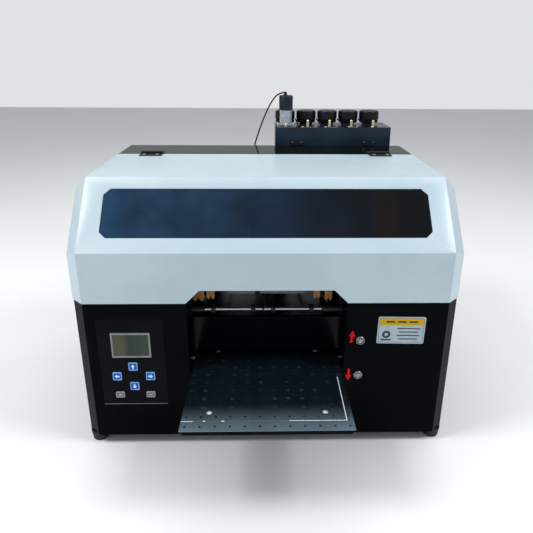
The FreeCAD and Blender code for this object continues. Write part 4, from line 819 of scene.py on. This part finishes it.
fittingLook = {"tall": [(0, 0), (4.3, 0), (4.3, 4.4), (3.8, 4.9), (3.8, 5.8), (4.2, 6.2), (4.2, 9.6),
                        (3.8, 10.1), (3.8, 13), (3.5, 14.6), (2.8, 16.3), (1.6, 17.6), (0, 18)],
               "short": [(0, 0), (4.3, 0), (4.3, 4.4), (3.8, 4.9), (3.8, 6.4), (3.2, 7.8), (2, 8.7), (0, 9)]}
low, high = corners("ink_fittings")
boxLow, boxHigh = corners("ink_box")
places = [(low.x + 4.3 + (high.x - low.x - 8.6) * i / 4, (low.y + high.y) / 2, boxHigh.z) for i in range(5)]
fittings = [turned("fitting", fittingLook["short"], "turnedBrass", places[0], "Z", 24)]
fittings += repeated(turned("fitting", fittingLook["tall"], "turnedBrass", sides=24), places[1:])
settle(joined("inkFittings", fittings), "chassis", "brass", "ink_fittings")

driveLook = {"plate": (44, 23, 4), "thickness": 3.0, "plateBack": 5.5, "screwReach": 18.6,
             "gearbox": [(0, 0), (15.5, 0), (15.5, 2.2), (14.9, 2.6), (14.9, 4.6), (15.5, 5), (15.5, 24),
                         (15.0, 24.5), (15.0, 26), (15.5, 26.5), (15.5, 36.2), (14.8, 37), (0, 37)],
             "can": [(0, 37), (16.2, 37), (17.5, 38), (17.5, 41), (17.1, 41.4), (17.1, 42.2), (17.5, 42.6),
                     (17.5, 70.5), (17.0, 71.6), (15.6, 72.4), (12.6, 72.8), (8, 73.2), (7.6, 73.5),
                     (0, 73.5)],
             "sleeve": [(0, 0), (2.4, 0), (2.6, 0.8), (2.6, 4.5), (2.3, 5.2), (0, 5.2)]}


def stirrerDrive():
    look = driveLook
    low, high = corners("stirrer_paddle")
    x = (low.x + high.x) / 2
    y = (low.y + high.y) / 2
    top = corners("stirrer_motor")[1].z
    place = (x, y, boxHigh.z + look["thickness"])
    gearbox = turned("stirrerGearbox", look["gearbox"], "satinNickelSteel", place, "Z", 48)
    can = turned("stirrerCan", look["can"], "motorCanPaint", place, "Z", 48)
    plate = flatShape("stirrerPlate", roundedOutline(*look["plate"]), look["thickness"],
                      (x, y + look["plateBack"], boxHigh.z), "satinNickelSteel", (1, 0, 0), (0, 1, 0))
    boot = boxPiece("wireBoot", (x - 5, y - 3, top - 9.2), (x + 2, y + 3, top - 1.5),
                    "pvcSheathBlack", 1.2, 3)
    sleeve = turned("wireSleeve", look["sleeve"], "heatShrinkRed", (x - 4.5, y, top - 3.5), "-X", 20)
    places = [(x + dx, y + 1, place[2]) for dx in (-look["screwReach"], look["screwReach"])]
    screws = repeated(panScrew("plateScrew", *screwLook["plate"], "zincPlatedSteel"), places)
    settle(joined("stirrerMotor", [gearbox, can, plate, boot, sleeve] + screws), "chassis", "stirrer_metal",
           "stirrer_motor")


stirrerDrive()

trimLook = {"firstScrew": 69.5, "screwPitch": 58.8, "screws": 4,
            "highlightStrips": ((29, 72), (88, 130), (146, 178), (216, 233)),
            "blackRods": ((78.2, 82.7), (133.7, 141.8), (189.2, 199.4), (244.7, 257)), "blackRodRadius": 1.8,
            "blackRodBack": (66, 13), "blackRodFront": (3, 1.9)}


def inkBoxTrim():
    # lid screws along the front edge, bright strips along it that are painted highlights, and a thin black
    # rod from behind each of four necks down to the front edge
    look = trimLook
    places = [(boxLow.x + look["firstScrew"] + look["screwPitch"] * i, boxLow.y + 3.5, boxHigh.z)
              for i in range(look["screws"])]
    trim = repeated(panScrew("lidScrew", *screwLook["lid"], "zincPlatedSteel"), places)
    # bright strips along the front top edge: painted highlights
    for left, right in look["highlightStrips"]:
        trim.append(boxPiece("lidEdge", (left, boxLow.y - 0.2, boxHigh.z - 0.8),
                             (right, boxLow.y + 1.2, boxHigh.z + 0.3), "silverPaintedAbs", 0.2, 1))
    # thin black rods from behind four necks down to the front edge
    for backX, frontX in look["blackRods"]:
        start = Vector((backX, boxLow.y + look["blackRodBack"][0], boxHigh.z + look["blackRodBack"][1]))
        end = Vector((frontX, boxLow.y + look["blackRodFront"][0], boxHigh.z + look["blackRodFront"][1]))
        turn = (end - start).to_track_quat("Z", "Y")
        blackRod = flatShape("ventPipe", circleOutline(look["blackRodRadius"], 16), (end - start).length, start,
                         "pvcSheathBlack", turn @ Vector((1, 0, 0)), turn @ Vector((0, 1, 0)))
        trim.append(smoothShaded(blackRod))
    settle(joined("inkBoxTrim", trim), "chassis", "ink_box_black")


inkBoxTrim()

# folded tabs that hold the box to the roof edge
tabLook = {"places": (56.0, 239.0), "halfWidth": 16.0, "low": 115.0, "high": 129.0, "screwReach": 12.0}
tabs = []
for left in tabLook["places"]:
    x = boxLow.x + left
    tabs.append(boxPiece("tabUpright", (x - tabLook["halfWidth"], boxLow.y - 2, boxLow.z + tabLook["low"]),
                         (x + tabLook["halfWidth"], boxLow.y - 0.2, boxLow.z + tabLook["high"]),
                         "motorCanPaint", 0.5))
places = [(boxLow.x + left + dx, boxLow.y - 2, boxLow.z + (tabLook["low"] + tabLook["high"]) / 2)
          for left in tabLook["places"] for dx in (-tabLook["screwReach"], tabLook["screwReach"])]
tabs += repeated(panScrew("tabScrew", *screwLook["tab"], "turnedStainless", axis="-Y"), places)
settle(joined("inkBoxTabs", tabs), "chassis", "hinge_black")

wireLook = {"radius": 1.8, "length": 0.262,
            "points": [(44, 302, 660), (30, 302, 657.5), (14, 302, 638), (-2, 302, 606), (-16, 304, 570),
                       (-28, 310, 533), (-36, 320, 500), (-39, 322, 476), (-40, 314, 457), (-40, 300, 446),
                       (-40, 287.5, 446)]}


def stirrerWire():
    look = wireLook
    line = bpy.data.curves.new("stirrerWire", "CURVE")
    line.dimensions = "3D"
    spline = line.splines.new("NURBS")
    spline.points.add(len(look["points"]) - 1)
    for point, place in zip(spline.points, look["points"]):
        point.co = (place[0] * mm, place[1] * mm, place[2] * mm, 1)
    spline.order_u = 3
    spline.use_endpoint_u = True
    spline.resolution_u = 12
    line.bevel_depth = look["radius"] * mm
    line.bevel_resolution = 5
    line.use_fill_caps = True
    wire = bpy.data.objects.new("stirrerWire", line)
    bpy.context.collection.objects.link(wire)
    line.materials.append(bpy.data.materials["pvcSheathBlack"])
    settle(wire, "chassis", "wire_sheath", "stirrer_wire")


stirrerWire()
print("ink station done")

# cross shaft: its collars, a thin clip, and a sleeve at each wall, all as middle, width and radius
shaftLook = {"radius": 4.0, "collars": (-106.0, -27.0, 12.5, 89.0), "collar": (9.0, 9.0),
             "clip": (-7.0, 3.0, 9.0), "holders": (27.0, 41.0), "holderRadius": 7.0}
low, high = corners("cross_shaft")
shaftY = (low.y + high.y) / 2
shaftZ = (low.z + high.z) / 2
r = shaftLook["radius"]
long = high.x - low.x
pieces = [turned("crossShaft", [(0, 0), (r - 0.4, 0), (r, 0.5), (r, long - 0.5), (r - 0.4, long), (0, long)],
                 "groundBearingSteel", (low.x, shaftY, shaftZ), "X", 32)]
left, right = shaftLook["holders"]
rings = [(x, *shaftLook["collar"]) for x in shaftLook["collars"]] + [shaftLook["clip"]]
rings += [(low.x + left / 2, left, shaftLook["holderRadius"]),
          (high.x - right / 2, right, shaftLook["holderRadius"])]
for x, w, r in rings:
    pieces.append(turned("collar", [(0, 0), (r - 0.8, 0), (r, 0.8), (r, w - 0.8), (r - 0.8, w), (0, w)],
                         "mouldedAbsBlack", (x - w / 2, shaftY, shaftZ), "X", 32))
settle(joined("crossShaft", pieces), "chassis", "shaft_steel", "cross_shaft")

# cut sheet hangers above the shaft, as middle, width and drop, and the plates behind it, as left and right
hangerLook = {"hangers": ((-137.0, 23.0, 9.0), (-112.5, 16.0, 14.0), (100.5, 13.0, 15.0), (124.0, 15.0, 9.0)),
              "behind": 16.0, "plates": ((-78, -24), (-14, 76)), "plateBehind": 19.0,
              "plateHeight": (298, 325)}
pieces = []
for x, wide, drop in hangerLook["hangers"]:
    w = wide / 2
    outline = [(-w, 60), (-w, 5), (-w * 0.5, 0), (0, 9), (w * 0.3, 2), (w * 0.7, 0), (w, 8), (w, 60)]
    pieces.append(flatShape("shaftBracket", outline, 1.5,
                            (x, shaftY + hangerLook["behind"], shaftZ + drop), "yellowPassivatedZinc"))
y = shaftY + hangerLook["plateBehind"]
bottom, top = hangerLook["plateHeight"]
for left, right in hangerLook["plates"]:
    pieces.append(boxPiece("backingPlate", (left, y, bottom), (right, y + 1.5, top),
                           "galvanisedSheet", 0.3, 1))
settle(joined("shaftBrackets", pieces), "chassis", "fastener_steel")
print("print channel done")

# contact pins of the mains inlet, from the middle of its face
pinLook = {"places": ((-7, -13), (0, -18), (7, -13)), "half": (1.1, 2.1), "from": 16.0, "to": 1.9}
low, high = corners("power_inlet")
middle = (low + high) / 2
w, h = pinLook["half"]
pin = boxPiece("inletPin", (-w, -pinLook["from"], -h), (w, -pinLook["to"], h), "turnedBrass")
pins = repeated(pin, [(middle.x + dx, rearY, middle.z + dz) for dx, dz in pinLook["places"]])
settle(joined("inletPins", pins), "chassis", "brass")

socketLook = {"beside": 40.0, "half": (7.0, 6.5), "wall": 1.2, "tongue": (2.8, 1.6)}


def dataSocket():
    # square data socket in a metal shell, beside the mains inlet
    x = high.x + socketLook["beside"]
    z = middle.z
    w, h = socketLook["half"]
    shell = boxPiece("dataSocketShell", (x - w, rearY - 1, z - h), (x + w, rearY + 2.2, z + h),
                     "zincPlatedSteel", 0.6)
    startEdit(shell)
    selectWhere(shell, "faces", lambda place, normal: normal.y > 0.9 and abs(place.x / mm - x) < 1)
    bpy.ops.mesh.inset(thickness=socketLook["wall"] * mm, depth=0)
    bpy.ops.mesh.inset(thickness=0.1 * mm, depth=-2.6 * mm)
    endEdit()
    w, h = socketLook["tongue"]
    tongue = boxPiece("dataSocketTongue", (x - w, rearY - 0.5, z - h), (x + w, rearY + 1.6, z + h),
                      "printedWhite", 0.3)
    settle(joined("dataSocket", [shell, tongue]), "chassis", "fastener_steel")


dataSocket()
print("rear connections done")

nothingSelected()
bpy.ops.mesh.primitive_plane_add(size=14, location=(0, 0, -0.0005))
floor = bpy.context.object
floor.name = "studioFloor"
paint(floor, "studioFloor")

world = bpy.data.worlds.new("studioWorld")
bpy.context.scene.world = world
world.use_nodes = True
background = world.node_tree.nodes["Background"]
background.inputs["Color"].default_value = colour("#f4f7fa")
# a backdrop a little brighter to the eye than the light that it gives
seen = addNode(world.node_tree, "LightPath")
level = addNode(world.node_tree, "MapRange", {"To Min": 0.48, "To Max": 0.82},
                {"Value": seen.outputs["Is Camera Ray"]})
world.node_tree.links.new(level.outputs["Result"], background.inputs["Strength"])

bpy.context.scene.view_settings.view_transform = "Standard"

lightLook = {
    "frontLeft": {"place": (-2.05, -0.7, 2.7), "aim": (0, -0.2, 0.2), "size": (1.0, 1.2), "power": 50},
    "frontRight": {"place": (2.1, -0.7, 2.7), "aim": (0, -0.2, 0.2), "size": (1.0, 1.2), "power": 44},
    "overhead": {"place": (0.0, 0.45, 2.4), "aim": (0, 0.2, 0.3), "size": (2.4, 1.3), "power": 13},
}
for name, look in lightLook.items():
    data = bpy.data.lights.new(name, "AREA")
    data.shape = "RECTANGLE"
    data.size, data.size_y = look["size"]
    data.energy = look["power"]
    lamp = bpy.data.objects.new(name, data)
    lamp.location = look["place"]
    lamp.rotation_euler = (Vector(look["aim"]) - Vector(look["place"])).to_track_quat("-Z", "Y").to_euler()
    bpy.context.collection.objects.link(lamp)

cameraLook = {"place": (-0.0055, -1.0840, 0.7501), "pitch": 0.354, "yaw": 0.025, "roll": 0.007,
              "lens": 35.63, "shift": (-0.0185, -0.032)}


def addCamera():
    look = cameraLook
    forward = Vector((math.sin(look["yaw"]) * math.cos(look["pitch"]),
                      math.cos(look["yaw"]) * math.cos(look["pitch"]), -math.sin(look["pitch"])))
    right = Vector((math.cos(look["yaw"]), -math.sin(look["yaw"]), 0))
    up = right.cross(forward)
    c = math.cos(look["roll"])
    s = math.sin(look["roll"])
    turn = Matrix((right * c + up * s, up * c - right * s, -forward)).transposed().to_4x4()
    data = bpy.data.cameras.new("camera")
    data.lens = look["lens"]
    data.sensor_width = 36
    data.shift_x, data.shift_y = look["shift"]
    camera = bpy.data.objects.new("camera", data)
    camera.matrix_world = Matrix.Translation(look["place"]) @ turn
    bpy.context.collection.objects.link(camera)
    bpy.context.scene.camera = camera


addCamera()
print("stage done")
